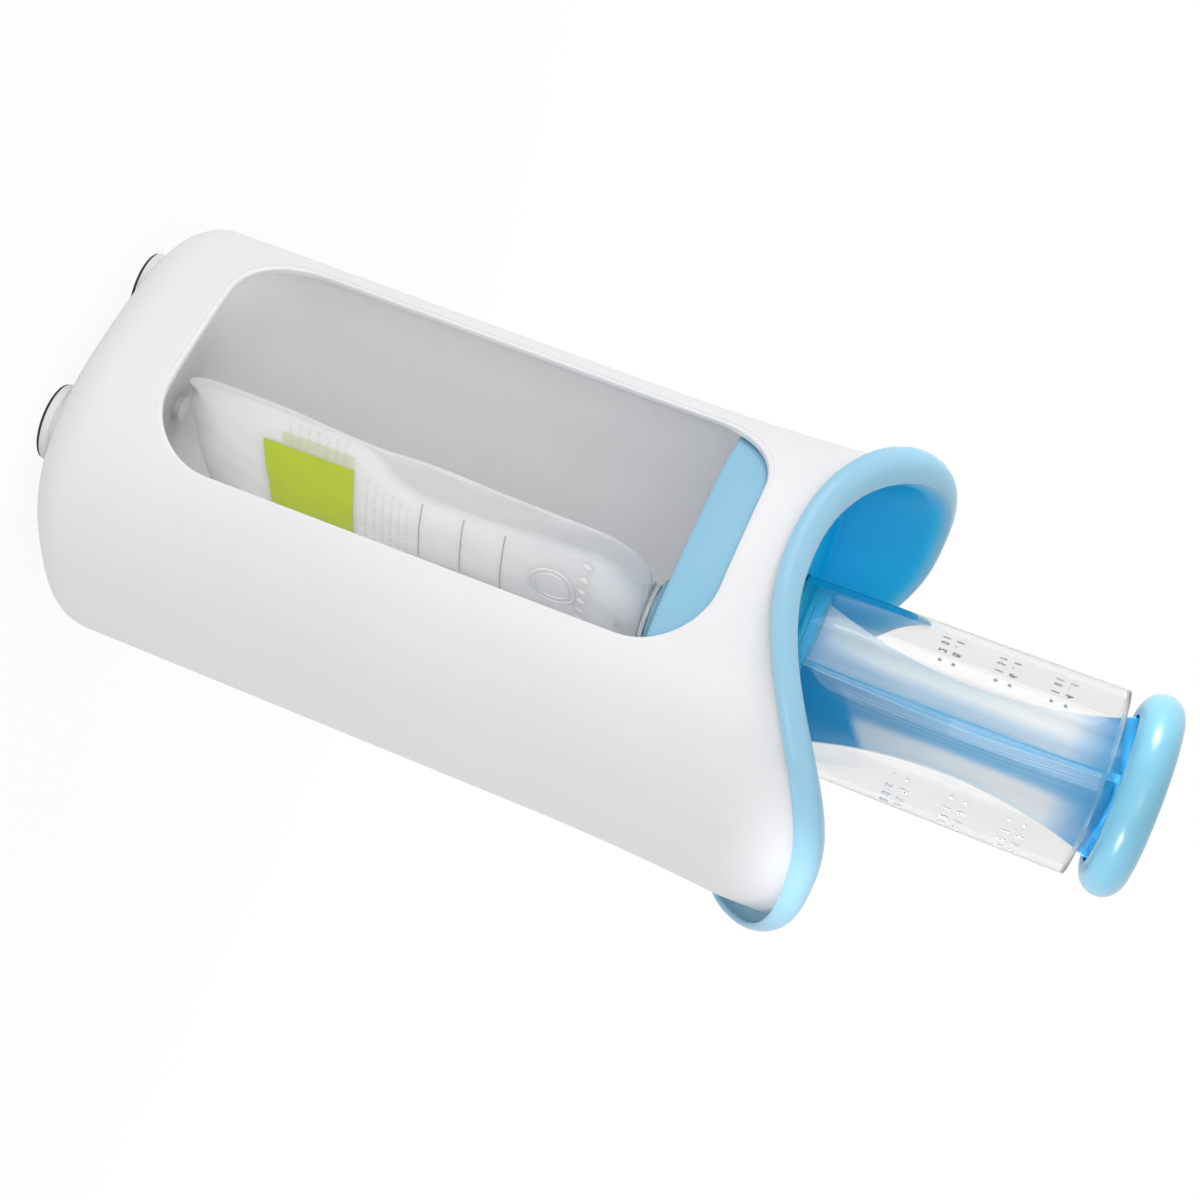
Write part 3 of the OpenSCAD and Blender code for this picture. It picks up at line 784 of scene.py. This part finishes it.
clear_plastic = clear("clear_plastic", 0.02)
ground_edge = clear("ground_edge", 0.42)
tube_profile = rounded([
    (NOZZLE_BORE_R, NOZZLE_Z, 0.3), (NOZZLE_R, NOZZLE_Z, 0.4), (NOZZLE_R, TUBE_Z[0], 0.8),
    (TUBE_R[0] - 0.6, TUBE_Z[0], 0.5), (TUBE_R[0], TUBE_Z[0] + 0.9, 0.5), (TUBE_R[1], TUBE_Z[1] - 0.1, 0.9),
    (TUBE_R[1] - 0.5, TUBE_Z[1], 0.3), (TUBE_BORE_R + 0.45, TUBE_Z[1], 0.3),
    (TUBE_BORE_R, TUBE_Z[1] - 0.7, 0.4), (TUBE_BORE_R, TUBE_FLOOR_Z, 1.2),
    (NOZZLE_BORE_R, TUBE_FLOOR_Z - 1, 0.6),
])
measuring_tube = build("measuring_tube", [lathe(tube_profile, steps=TUBE_STEPS)], clear_plastic,
                       "tube", "clear_plastic", "tube")
measuring_tube.data.materials.append(ground_edge)
for face in measuring_tube.data.polygons:
    if face.center.z > (TUBE_Z[1] - GROUND_H) * MM:
        face.material_index = 1

# ---------------------------------------------------------------------------
# Filling scale
# Small raised figures of grey plastic in two columns up the sides of the tube,
# moulded onto it, with a round bead before each number.

FIGURE_H = 2.0
FONT_SHARE = 1.4     # size of the letter form for a figure one high
FIGURE_STEP = math.radians(10)
FIGURE_RAISE = 0.14
FIGURE_BEVEL = 0.05
FIGURE_ARC_STEPS = 3
BEAD_R = 0.5
BEAD_STEPS = 20
FIGURE_START = math.radians(-14.5)
FIGURE_SIDES = (math.radians(0), math.radians(181))
FIGURE_ROWS = [
    (208.4, "200"), (211.8, "8.0"), (222.3, "150"), (225.8, "6.0"), (236.1, "100"), (239.6, "4.0"),
]


def raised_figure(letter):
    """Points and faces of one figure lying flat, its foot at zero and its middle at zero width."""
    curve = bpy.data.curves.new("figure", "FONT")
    curve.body = letter
    curve.size = FIGURE_H * FONT_SHARE
    curve.resolution_u = FIGURE_ARC_STEPS
    curve.extrude = FIGURE_RAISE
    curve.bevel_depth = FIGURE_BEVEL
    holder = bpy.data.objects.new("figure", curve)
    scene.collection.objects.link(holder)
    made = holder.evaluated_get(bpy.context.evaluated_depsgraph_get())
    mesh = bpy.data.meshes.new_from_object(made)
    points = [tuple(v.co) for v in mesh.vertices]
    faces = [tuple(face.vertices) for face in mesh.polygons]
    bpy.data.objects.remove(holder)
    bpy.data.curves.remove(curve)
    bpy.data.meshes.remove(mesh)
    middle = (min(x for x, y, z in points) + max(x for x, y, z in points)) / 2
    return [(x - middle, y, z) for x, y, z in points], faces


def round_tube(points, turn, height):
    """Flat points laid round the tube's outside at an angle and a height."""
    placed = []
    for x, y, z in points:
        share = (height + y - TUBE_Z[0]) / (TUBE_Z[1] - TUBE_Z[0])
        radius = TUBE_R[0] + (TUBE_R[1] - TUBE_R[0]) * share
        angle = turn + x / radius
        placed.append(((radius + z) * math.cos(angle), (radius + z) * math.sin(angle), height + y))
    return placed


bead_profile = rounded([(0, -0.1, 0), (BEAD_R, -0.1, 0), (BEAD_R, 0.2, 0.2), (0, 0.3, 0)])
bead_points, bead_faces = lathe(bead_profile, at=(0, FIGURE_H / 2), steps=BEAD_STEPS)
letters = sorted({letter for height, row in FIGURE_ROWS for letter in row})
figure_shapes = {letter: raised_figure(letter) for letter in letters}
figures = []
for side in FIGURE_SIDES:
    for height, row in FIGURE_ROWS:
        turn = side + FIGURE_START
        figures.append((round_tube(bead_points, turn, height - FIGURE_H / 2), bead_faces))
        for letter in row:
            turn += FIGURE_STEP
            points, faces = figure_shapes[letter]
            figures.append((round_tube(points, turn, height - FIGURE_H / 2), faces))
figure_grey = moulded("figure_grey", (0.55, 0.55, 0.56), rough=0.3, depth=0.02, coat=0.2)
build("scale_figures", figures, figure_grey, "tube", "clear_plastic")

# ---------------------------------------------------------------------------
# Piston
# A bright blue disc with a groove for its silicone seal. It closes the tube
# from above and pushes the food down through the nozzle.

PISTON_Z = (170.5, 180.5)
PISTON_R = 19.9
SEAL_R = 20.35
GROOVE_R = 17.4
GROOVE_PLAY = 0.05
SEAL_Z = (173.5, 178.5)
SEAL_LIP_H = 1.2
SEAL_WAIST = 0.5
DISH_R = (12, 14)
DISH_H = 0.6
PISTON_STEPS = 160
seal_foot = SEAL_Z[0] + GROOVE_PLAY
seal_top = SEAL_Z[1] - GROOVE_PLAY
seal_profile = rounded([
    (GROOVE_R + GROOVE_PLAY, seal_foot, 0.2), (SEAL_R, seal_foot, 0.3), (SEAL_R, SEAL_Z[0] + SEAL_LIP_H, 0.3),
    (SEAL_R - SEAL_WAIST, SEAL_Z[0] + 2, 0.3), (SEAL_R - SEAL_WAIST, SEAL_Z[1] - 2, 0.3),
    (SEAL_R, SEAL_Z[1] - SEAL_LIP_H, 0.3), (SEAL_R, seal_top, 0.3), (GROOVE_R + GROOVE_PLAY, seal_top, 0.2),
])
seal_blue = moulded("seal_blue", (0.03, 0.64, 1.0), rough=0.4, depth=0.1, glow_through=0.4)
build("seal_ring", [lathe(seal_profile, steps=PISTON_STEPS)], seal_blue, "seal", "silicone", "piston_seal")
piston_profile = rounded([
    (0, PISTON_Z[0] + DISH_H, 0), (DISH_R[0], PISTON_Z[0] + DISH_H, 1), (DISH_R[1], PISTON_Z[0], 0.6),
    (PISTON_R - 0.9, PISTON_Z[0], 0.6), (PISTON_R, PISTON_Z[0] + 0.9, 0.6), (PISTON_R, SEAL_Z[0], 0.15),
    (GROOVE_R, SEAL_Z[0], 0.1), (GROOVE_R, SEAL_Z[1], 0.1), (PISTON_R, SEAL_Z[1], 0.15),
    (PISTON_R, PISTON_Z[1], 0.5), (0, PISTON_Z[1], 0),
])
bright_blue = moulded("bright_blue", (0.08, 0.6, 0.98), rough=0.5, ior=1.2)
build("piston_disc", [lathe(piston_profile, steps=PISTON_STEPS)], bright_blue,
      "plunger", "bright_blue_plastic", "piston_head")

# ---------------------------------------------------------------------------
# Plunger shaft
# Four fins of blue plastic with round hollows between them, narrow at the waist.
# Moulded in one, they run up the tube from the piston into the handle.

HANDLE_Z = 255.5
RECESS_H = 4.6
FIN_REACH = 17.2
FIN_WAIST = 10.7
FIN_T = 2.0
FIN_TURN = math.radians(26)
FIN_EDGE = 0.15
FILLET_R = 13.0
EDGE_SHARES = (-0.85, -0.45, 0, 0.45, 0.85)
HALF_HOLLOW = 12
SHAFT_STEPS = 64
HALVINGS = 40


def fin_reach(z):
    """Reach of the fins at height z: a shallow arc from piston to handle."""
    half = (HANDLE_Z - PISTON_Z[1]) / 2
    sag = FIN_REACH - FIN_WAIST
    arc = (half * half + sag * sag) / (2 * sag)
    off = min(abs(z - PISTON_Z[1] - half), half)
    return FIN_WAIST + arc - math.sqrt(arc * arc - off * off)


def fin_ring(z):
    """Section of the fins: straight flanks near the edge, round hollows between."""
    reach = fin_reach(z)
    centre = FIN_T / 2 + FILLET_R

    def half_thick(x):
        """Half thickness of a fin at the distance x from the axis."""
        if x >= centre:
            return FIN_T / 2
        return centre - math.sqrt(FILLET_R ** 2 - (centre - x) ** 2)

    deep = centre - FILLET_R / math.sqrt(2)
    edge = deep
    beyond = reach
    for _ in range(HALVINGS):
        mid = (edge + beyond) / 2
        if math.hypot(mid, half_thick(mid)) < reach - FIN_EDGE:
            edge = mid
        else:
            beyond = mid
    side = half_thick(edge)
    flank = [edge + (deep - edge) * k / HALF_HOLLOW for k in range(HALF_HOLLOW + 1)]
    quarter = [(math.sqrt(max(0, reach ** 2 - (side * share) ** 2)), side * share) for share in EDGE_SHARES]
    quarter += [(x, half_thick(x)) for x in flank[:-1]]
    quarter += [(half_thick(x), x) for x in reversed(flank)]
    ring = []
    for q in range(4):
        turn = math.pi / 2 * q + FIN_TURN
        c, s = math.cos(turn), math.sin(turn)
        ring += [(x * c - y * s, x * s + y * c, z) for x, y in quarter]
    return ring


def capped(rings):
    """Points and faces of a band with a face on its first ring and one on its last."""
    points, faces = band(rings)
    count = len(rings[0])
    ends = [tuple(range(count)), tuple(range(len(points) - count, len(points)))]
    return points, faces[:-count] + ends


shaft_h = HANDLE_Z + RECESS_H - PISTON_Z[1]
shaft_rings = [fin_ring(PISTON_Z[1] + shaft_h * k / SHAFT_STEPS) for k in range(SHAFT_STEPS + 1)]
# The near-white colour is painted highlight and the deep blue painted shade
fin_blue = moulded("fin_blue", (0.94, 0.965, 1.0), deep=(0.05, 0.44, 0.74), rough=0.3, coat=1.0,
                   coat_rough=0.24, glow_through=1, reach=0.001)
fins = build("plunger_fins", [capped(shaft_rings)], fin_blue,
             "plunger", "blue_plastic", "plunger_shaft", sharp=35)

# Painted light from point to point round the shaft: painted highlight on two fins and the hollows
# beside them, painted shade on the other two fins, and fine stripes of painted reflection between
PAINTED_LIGHT_FIN = [1.0] * 5
LIGHT_TO_SHADE = [
    0.85, 0.92, 1.0, 1.0, 1.0, 1.0, 1.0, 0.97, 0.92, 0.86, 0.8, 0.74, 0.68,
    0.6, 0.55, 0.62, 0.5, 0.45, 0.55, 0.38, 0.5, 0.32, 0.45, 0.28, 0.4,
]
PAINTED_SHADE_FIN = [0.35, 0.0, 0.15, 0.0, 0.35]
SHADE_TO_LIGHT = [
    0.05, 0.4, 0.0, 0.35, 0.05, 0.4, 0.05, 0.3, 0.1, 0.3, 0.12, 0.25, 0.15,
    0.25, 0.4, 0.72, 0.94, 1.0, 1.0, 1.0, 1.0, 0.97, 0.93, 0.88, 0.8,
]
SHADE_PATCH_Z = 183          # upper edge of the patch of painted shade at the piston, where it is lowest
SHADE_PATCH_RISE = 15        # how much higher that edge is on the patch's other side
SHADE_PATCH_FADE = 2
HANDLE_FADE = (3, 10)  # painted shade this far below the handle, then it fades into the painted highlight
PISTON_FADE = (8, 12)  # the painted highlight at the piston is 8 parts of 12 of its full strength, and full 4 mm above
HIGHLIGHT_DROP = 17       # the painted highlight is brightest this far below the handle
HIGHLIGHT_HALF = 13
HIGHLIGHT_SHARE = 0.86      # strength of the painted highlight away from that place


def held(value):
    """A value held between 0 and 1."""
    return min(1, max(0, value))


fin_shades = []
for ring in shaft_rings:
    z = ring[0][2]
    to_handle = held((HANDLE_Z - HANDLE_FADE[0] - z) / HANDLE_FADE[1])
    highlight_peak = math.exp(-((z - HANDLE_Z + HIGHLIGHT_DROP) / HIGHLIGHT_HALF) ** 2)
    to_handle *= HIGHLIGHT_SHARE + (1 - HIGHLIGHT_SHARE) * highlight_peak
    to_piston = held((z - PISTON_Z[1] + PISTON_FADE[0]) / PISTON_FADE[1])
    shade_patched = []
    for k, pale in enumerate(SHADE_TO_LIGHT):
        shade_patch_top = SHADE_PATCH_Z + SHADE_PATCH_RISE * (k / (len(SHADE_TO_LIGHT) - 1)) ** 0.7
        shade_patched.append(pale * held((z - shade_patch_top) / SHADE_PATCH_FADE))
    painted_light_round = 2 * (PAINTED_LIGHT_FIN + LIGHT_TO_SHADE + PAINTED_SHADE_FIN + shade_patched)
    fin_shades += [1 - pale * to_handle * to_piston for pale in painted_light_round]
shade_points(fins, fin_shades)

# ---------------------------------------------------------------------------
# Handle and cap
# A thick round-edged disc of blue plastic pressed onto the fins, hollow below.
# A flat cap snapped into its top closes it and leaves a fine round joint.

HANDLE_H = 10.3
HANDLE_R = 24.5
RECESS_R = 18.4
CAP_R = 16.0
CAP_H = 2.0
HANDLE_ROUND_STEPS = 28
HANDLE_STEPS = 192
handle_top = HANDLE_Z + HANDLE_H
recess_z = HANDLE_Z + RECESS_H
# Its deep blue is painted shade, for the recess under the handle
handle_blue = moulded("handle_blue", (0.155, 0.4, 0.53), deep=(0.0, 0.42, 0.85), rough=0.32,
                      coat=0.35, coat_rough=0.3)
handle_profile = rounded([(0, recess_z, 0), (RECESS_R, recess_z, 1.0), (RECESS_R, HANDLE_Z + 0.2, 0.4)])
for k in range(HANDLE_ROUND_STEPS + 1):
    turn = math.pi * (k / HANDLE_ROUND_STEPS - 0.5)
    radius = HANDLE_R - HANDLE_H / 2 + HANDLE_H / 2 * math.cos(turn)
    handle_profile.append((radius, HANDLE_Z + HANDLE_H / 2 * (1 + math.sin(turn))))
handle_profile += rounded([
    (CAP_R + 0.5, handle_top, 0), (CAP_R + 0.05, handle_top - 0.4, 0.2),
    (CAP_R, handle_top - CAP_H, 0), (0, handle_top - CAP_H, 0),
], closed=False)
handle_points, handle_faces = lathe(handle_profile, steps=HANDLE_STEPS)
handle = build("handle_ring", [(handle_points, handle_faces)], handle_blue,
               "plunger", "blue_plastic", "plunger_handle")
# Painted shade in the recess under the handle
shade_points(handle, [
    1.0 if math.hypot(x, y) < RECESS_R + 1.5 and z < recess_z + 1 else 0.0
    for x, y, z in handle_points
])
cap_profile = rounded([
    (0, handle_top - CAP_H, 0), (CAP_R - 0.05, handle_top - CAP_H, 0), (CAP_R - 0.05, handle_top - 0.5, 0.3),
    (CAP_R - 0.6, handle_top - 0.1, 0.3), (0, handle_top - 0.3, 0),
])
build("cap_disc", [lathe(cap_profile)], handle_blue, "plunger", "blue_plastic", "handle_cap")

# ---------------------------------------------------------------------------
# Pouch bag
# Two milky films, welded together along the sides and the top, with a folded
# bottom. Almost empty, it hangs by its spout and is held open a little below.

POUCH_Z = (23.0, 141.0)
POUCH_SIDE = [   # half width of the films at each height
    (33, 26.9), (50, 26.6), (63, 25.2), (73, 24.7), (84, 25.6), (103, 24.8), (126, 24.2),
]
POUCH_FILL = [   # half width of the part that stands open
    (23, 20), (31, 24.5), (62, 24), (70, 22.6), (76, 16.5), (82, 12.8), (90, 12.3),
    (105, 13.2), (117, 14.2), (129, 15), (136, 12), (141, 9.5),
]
POUCH_THICK = [  # half thickness of that part at its middle
    (23, 2), (32, 2.8), (50, 3), (75, 2.6), (100, 2.2), (122, 2.6), (132, 5.2), (141, 6.5),
]
FOOT_CORNER = (4.1, 10.0)  # rounded corner, as (in from the side, up from the end)
SHOULDER = (11.0, 15.0)
FILM_T = 0.3
WELD_W = 6.0         # width over which the film flattens out to its side weld
HEM_SKEW = 0.15      # how much the hem drops from one side to the other
SKEW_Z = 68.0        # height below which it does
GUSSET_H = 9.0
GUSSET_SHARES = (1.0, 0.8, 0.6, 0.4, 0.2)
GUSSET_GAP = 0.1
CREASE_Z = (66, 76)  # heights between which the painted shade in the fold beside the open part sets in
CREASE_HALF = 2.6
ACROSS = 60
ALONG = 130
SIDE_CROWDING = 0.4  # the mesh is finer towards the sides and the ends
END_CROWDING = 0.035


def smooth_line(points, at):
    """Value on a smooth line through (place, value) points."""
    if at <= points[0][0]:
        return points[0][1]
    if at >= points[-1][0]:
        return points[-1][1]
    i = max(k for k in range(len(points) - 1) if points[k][0] <= at)
    a, b = points[i], points[i + 1]
    before = points[max(0, i - 1)]
    after = points[min(len(points) - 1, i + 2)]
    step = b[0] - a[0]
    t = (at - a[0]) / step
    rise_a = (b[1] - before[1]) / (b[0] - before[0]) * step
    rise_b = (after[1] - a[1]) / (after[0] - a[0]) * step
    return ((2 * t ** 3 - 3 * t * t + 1) * a[1] + (t ** 3 - 2 * t * t + t) * rise_a
            + (3 * t * t - 2 * t ** 3) * b[1] + (t ** 3 - t * t) * rise_b)


def pouch_side(z):
    """Half width of the pouch at height z, with rounded corners."""
    narrow, tall = FOOT_CORNER
    if z < POUCH_Z[0] + tall:
        drop = (POUCH_Z[0] + tall - z) / tall
        return POUCH_SIDE[0][1] - narrow * (1 - math.sqrt(max(0, 1 - drop * drop)))
    narrow, tall = SHOULDER
    rise = held((z - (POUCH_Z[1] - tall)) / tall)
    return smooth_line(POUCH_SIDE, z) - narrow * (1 - math.sqrt(1 - rise * rise))


def film_at(y, z):
    """Height of the film above the pouch's middle plane, with its soft dents."""
    share = abs(y) / smooth_line(POUCH_FILL, z)
    # One broad and one finer wave make the dents
    dent = 0.22 * math.sin(z * 0.19 + y * 0.12) * math.sin(y * 0.23 - z * 0.05)
    dent += 0.1 * math.sin(z * 0.47 - y * 0.31) * math.sin(z * 0.11 + y * 0.4)
    if share >= 1:
        side = (abs(y) - smooth_line(POUCH_FILL, z)) / WELD_W
        return FILM_T + max(0, dent) * min(1, side)
    return FILM_T + (smooth_line(POUCH_THICK, z) + dent) * (1 - share ** 2.6) ** 0.9


def hang(y, z):
    """Height of a point of the film once the hem hangs askew."""
    return z + HEM_SKEW * max(0, 1 - (z - POUCH_Z[0]) / (SKEW_Z - POUCH_Z[0])) * (y + pouch_side(POUCH_Z[0]))


def fold_shade(y, z):
    """Share of painted shade at a point, highest in the fold where the open part ends, from 0 to 1."""
    away = abs(abs(y) - smooth_line(POUCH_FILL, z))
    strength = held((z - CREASE_Z[0]) / (CREASE_Z[1] - CREASE_Z[0]))
    return strength * max(0, 1 - away / CREASE_HALF)


# Bottom fold between the films, then the two films up to the spout
bag_rings = []
for fold_up in GUSSET_SHARES:
    ring = []
    for side in (1, -1):
        for i in range(ACROSS):
            v = side * (1 - 2 * i / ACROSS)
            y = v * pouch_side(POUCH_Z[0])
            x = side * max(GUSSET_GAP, film_at(y, POUCH_Z[0]) * (1 - fold_up))
            ring.append((x, y, hang(y, POUCH_Z[0] + GUSSET_H * (1 - v * v) * fold_up)))
    bag_rings.append(ring)
for k in range(ALONG + 1):
    t = k / ALONG
    z = POUCH_Z[0] + (POUCH_Z[1] - POUCH_Z[0]) * (t - END_CROWDING * math.sin(2 * math.pi * t))
    ring = []
    for side in (1, -1):
        for i in range(ACROSS):
            v = side * (1 - 2 * i / ACROSS)
            spread = SIDE_CROWDING * math.sin(v * math.pi / 2) + (1 - SIDE_CROWDING) * v
            y = spread * pouch_side(z)
            x = side * film_at(y, z) if i else 0
            ring.append((x, y, hang(y, z)))
    bag_rings.append(ring)
bag_points, bag_faces = capped(bag_rings)

# Milky film with fine creases, with painted shade that makes it a little darker in its folds
film = moulded("film", (1.0, 1.0, 0.99), deep=(0.8, 0.81, 0.81), rough=0.26, depth=0.2, mottle=0.01,
               coat=0.5, glow_through=1, reach=0.005, peel_scale=160, peel_height=0.0006)
bag = build("bag_film", [(bag_points, bag_faces)], film, "pouch", "pouch_film", "pouch_bag", sharp=50)
shade_points(bag, [fold_shade(y, z) for x, y, z in bag_points])

# ---------------------------------------------------------------------------
# Print on the pouch
# A green panel with a frosted strip beside it, three fill lines, and rows of
# plain dashes for the small print. All are printed on the right-hand film.

PANEL = (-15.6, 15.6, 42.6, 66.4)  # from and to across the film, then from and to up it
FROST = (-19.8, PANEL[0], 47.5, PANEL[3])
FROST_COVER = 0.45
PRINT_LIFT = 0.06
FROST_LIFT = 0.07
SMALL_LIFT = 0.1
LINE_HALF = 11
LINE_T = 0.28
LINES_Z = (83.6, 94.2, 104.8)
DASH_H = 0.8
DASH_GAP = 0.5
DASH_COVER = 0.2
PATCH_STEP = 1.0


def film_patch(spans, lift):
    """Points and faces of thin patches on the pouch's right film, one for each (y0, y1, z0, z1)."""
    points = []
    faces = []
    for y0, y1, z0, z1 in spans:
        across = max(1, round((y1 - y0) / PATCH_STEP))
        along = max(1, round((z1 - z0) / PATCH_STEP))
        base = len(points)
        for j in range(along + 1):
            for i in range(across + 1):
                y = y0 + (y1 - y0) * i / across
                z = z0 + (z1 - z0) * j / along
                points.append((film_at(y, z) + lift, y, hang(y, z)))
        for j in range(along):
            for i in range(across):
                k = base + j * (across + 1) + i
                faces.append((k, k + 1, k + across + 2, k + across + 1))
    return points, faces


def dash_row(z, first, last, runs, wave, start):
    """Row of dashes at height z, from first to last; their lengths swing between the two runs."""
    row = []
    y = first
    while y < last:
        run = runs[0] + (runs[1] - runs[0]) * abs(math.sin(wave * len(row) + start))
        row.append((y, y + run, z, z + DASH_H))
        y += run + DASH_GAP
    return row


panel_green = moulded("panel_green", (0.57, 0.71, 0.02), rough=0.22, coat=0.4, depth=0.2, mottle=0.04)
build("bag_panel", [film_patch([PANEL], PRINT_LIFT)], panel_green, "pouch", "pouch_film")
frost_green = moulded("frost_green", (0.8, 0.84, 0.5), rough=0.3, depth=0.1, mottle=0.05,
                      more={"Alpha": FROST_COVER})
build("bag_frost", [film_patch([FROST], FROST_LIFT)], frost_green, "pouch", "pouch_film")
print_grey = moulded("print_grey", (0.44, 0.46, 0.46), rough=0.4, depth=0.05)
fill_lines = [(-LINE_HALF, LINE_HALF, z - LINE_T / 2, z + LINE_T / 2) for z in LINES_Z]
build("bag_fill_lines", [film_patch(fill_lines, PRINT_LIFT)], print_grey, "pouch", "pouch_film")
faint_print = moulded("faint_print", (0.7, 0.71, 0.72), rough=0.4, depth=0.05, more={"Alpha": DASH_COVER})

# Small print: a slanting block of dashes above the panel, and a narrow one beside it
BLOCK_ROWS = 6
COLUMN_ROWS = 7
dashes = []
for row in range(BLOCK_ROWS):
    dashes += dash_row(z=69.6 + 2.1 * row, first=-14.2 + 1.1 * row, last=11,
                       runs=(1.2, 2.7), wave=2.3, start=3.3 * row)
for row in range(COLUMN_ROWS):
    dashes += dash_row(z=49.2 + 2.4 * row, first=-23.2, last=-17,
                       runs=(0.9, 2.1), wave=1.9, start=3.9 * row)
build("bag_small_print", [film_patch(dashes, SMALL_LIFT)], faint_print, "pouch", "pouch_film")

# ---------------------------------------------------------------------------
# Marks pressed into the pouch
# A ring in a ring and a row of small studs under the spout, raised in the same
# film by the tool that welds its top.

RING_Z = 118.0
RING_R = 6.2
RING_BANDS = ((RING_R, 0.5), (RING_R - 1.6, 0.3))  # outer radius and width of each ring
RING_STEPS = 72
RING_H = 0.3
MARK_FOOT = 0.02
STUDS = 7
STUD_STEP = 3.9
STUD_Z = 125.7
STUD_HALF = (1.2, 1.5)
STUD_FOOT = 0.03
STUD_H = 0.45
relief = []
for radius, width in RING_BANDS:
    points = []
    faces = []
    for k in range(RING_STEPS):
        turn = 2 * math.pi * k / RING_STEPS
        for r, lift in ((radius - width, MARK_FOOT), (radius - width / 2, RING_H), (radius, MARK_FOOT)):
            y = r * math.sin(turn)
            z = RING_Z + r * math.cos(turn)
            points.append((film_at(y, z) + lift, y, z))
    for k in range(RING_STEPS):
        for j in range(2):
            a = k * 3 + j
            b = (k + 1) % RING_STEPS * 3 + j
            faces.append((a, a + 1, b + 1, b))
    relief.append((points, faces))
stud_corners = [(0, STUD_HALF[1]), (STUD_HALF[0], 0), (0, -STUD_HALF[1]), (-STUD_HALF[0], 0)]
for k in range(STUDS):
    y = STUD_STEP * (k - (STUDS - 1) / 2)
    points = [(film_at(y + a, STUD_Z + b) + STUD_FOOT, y + a, STUD_Z + b) for a, b in stud_corners]
    points.append((film_at(y, STUD_Z) + STUD_H, y, STUD_Z))
    relief.append((points, [(i, (i + 1) % 4, 4) for i in range(4)]))
raised_film = moulded("raised_film", (0.97, 0.97, 0.96), rough=0.3, depth=0.05)
build("bag_relief", relief, raised_film, "pouch", "pouch_film")

# ---------------------------------------------------------------------------
# Pouch spout
# A moulded white tube with a flange, welded into the top of the bag. The clip
# holds it, and the measuring tube's nozzle reaches into it.

SPOUT_R = 6.2
SPOUT_BORE_R = BORE_R - 0.3
SPOUT_Z = (135.0, 157.5)
FLANGE_R = SPOUT_R + 1.2
FLANGE_Z = (POUCH_Z[1] + 0.4, POUCH_Z[1] + 1.4)
SPOUT_STEPS = 96
spout_white = moulded("spout_white", (0.85, 0.86, 0.86), rough=0.35, glow_through=0.3)
spout_profile = rounded([
    (SPOUT_BORE_R, SPOUT_Z[0], 0.1), (SPOUT_R, SPOUT_Z[0], 0.3), (SPOUT_R, FLANGE_Z[0], 0.1),
    (FLANGE_R, FLANGE_Z[0], 0.2), (FLANGE_R, FLANGE_Z[1], 0.2), (SPOUT_R, FLANGE_Z[1], 0.2),
    (SPOUT_R, SPOUT_Z[1], 0.3), (SPOUT_BORE_R, SPOUT_Z[1], 0.2),
])
build("spout_body", [lathe(spout_profile, steps=SPOUT_STEPS)], spout_white,
      "pouch", "spout_plastic", "pouch_spout")
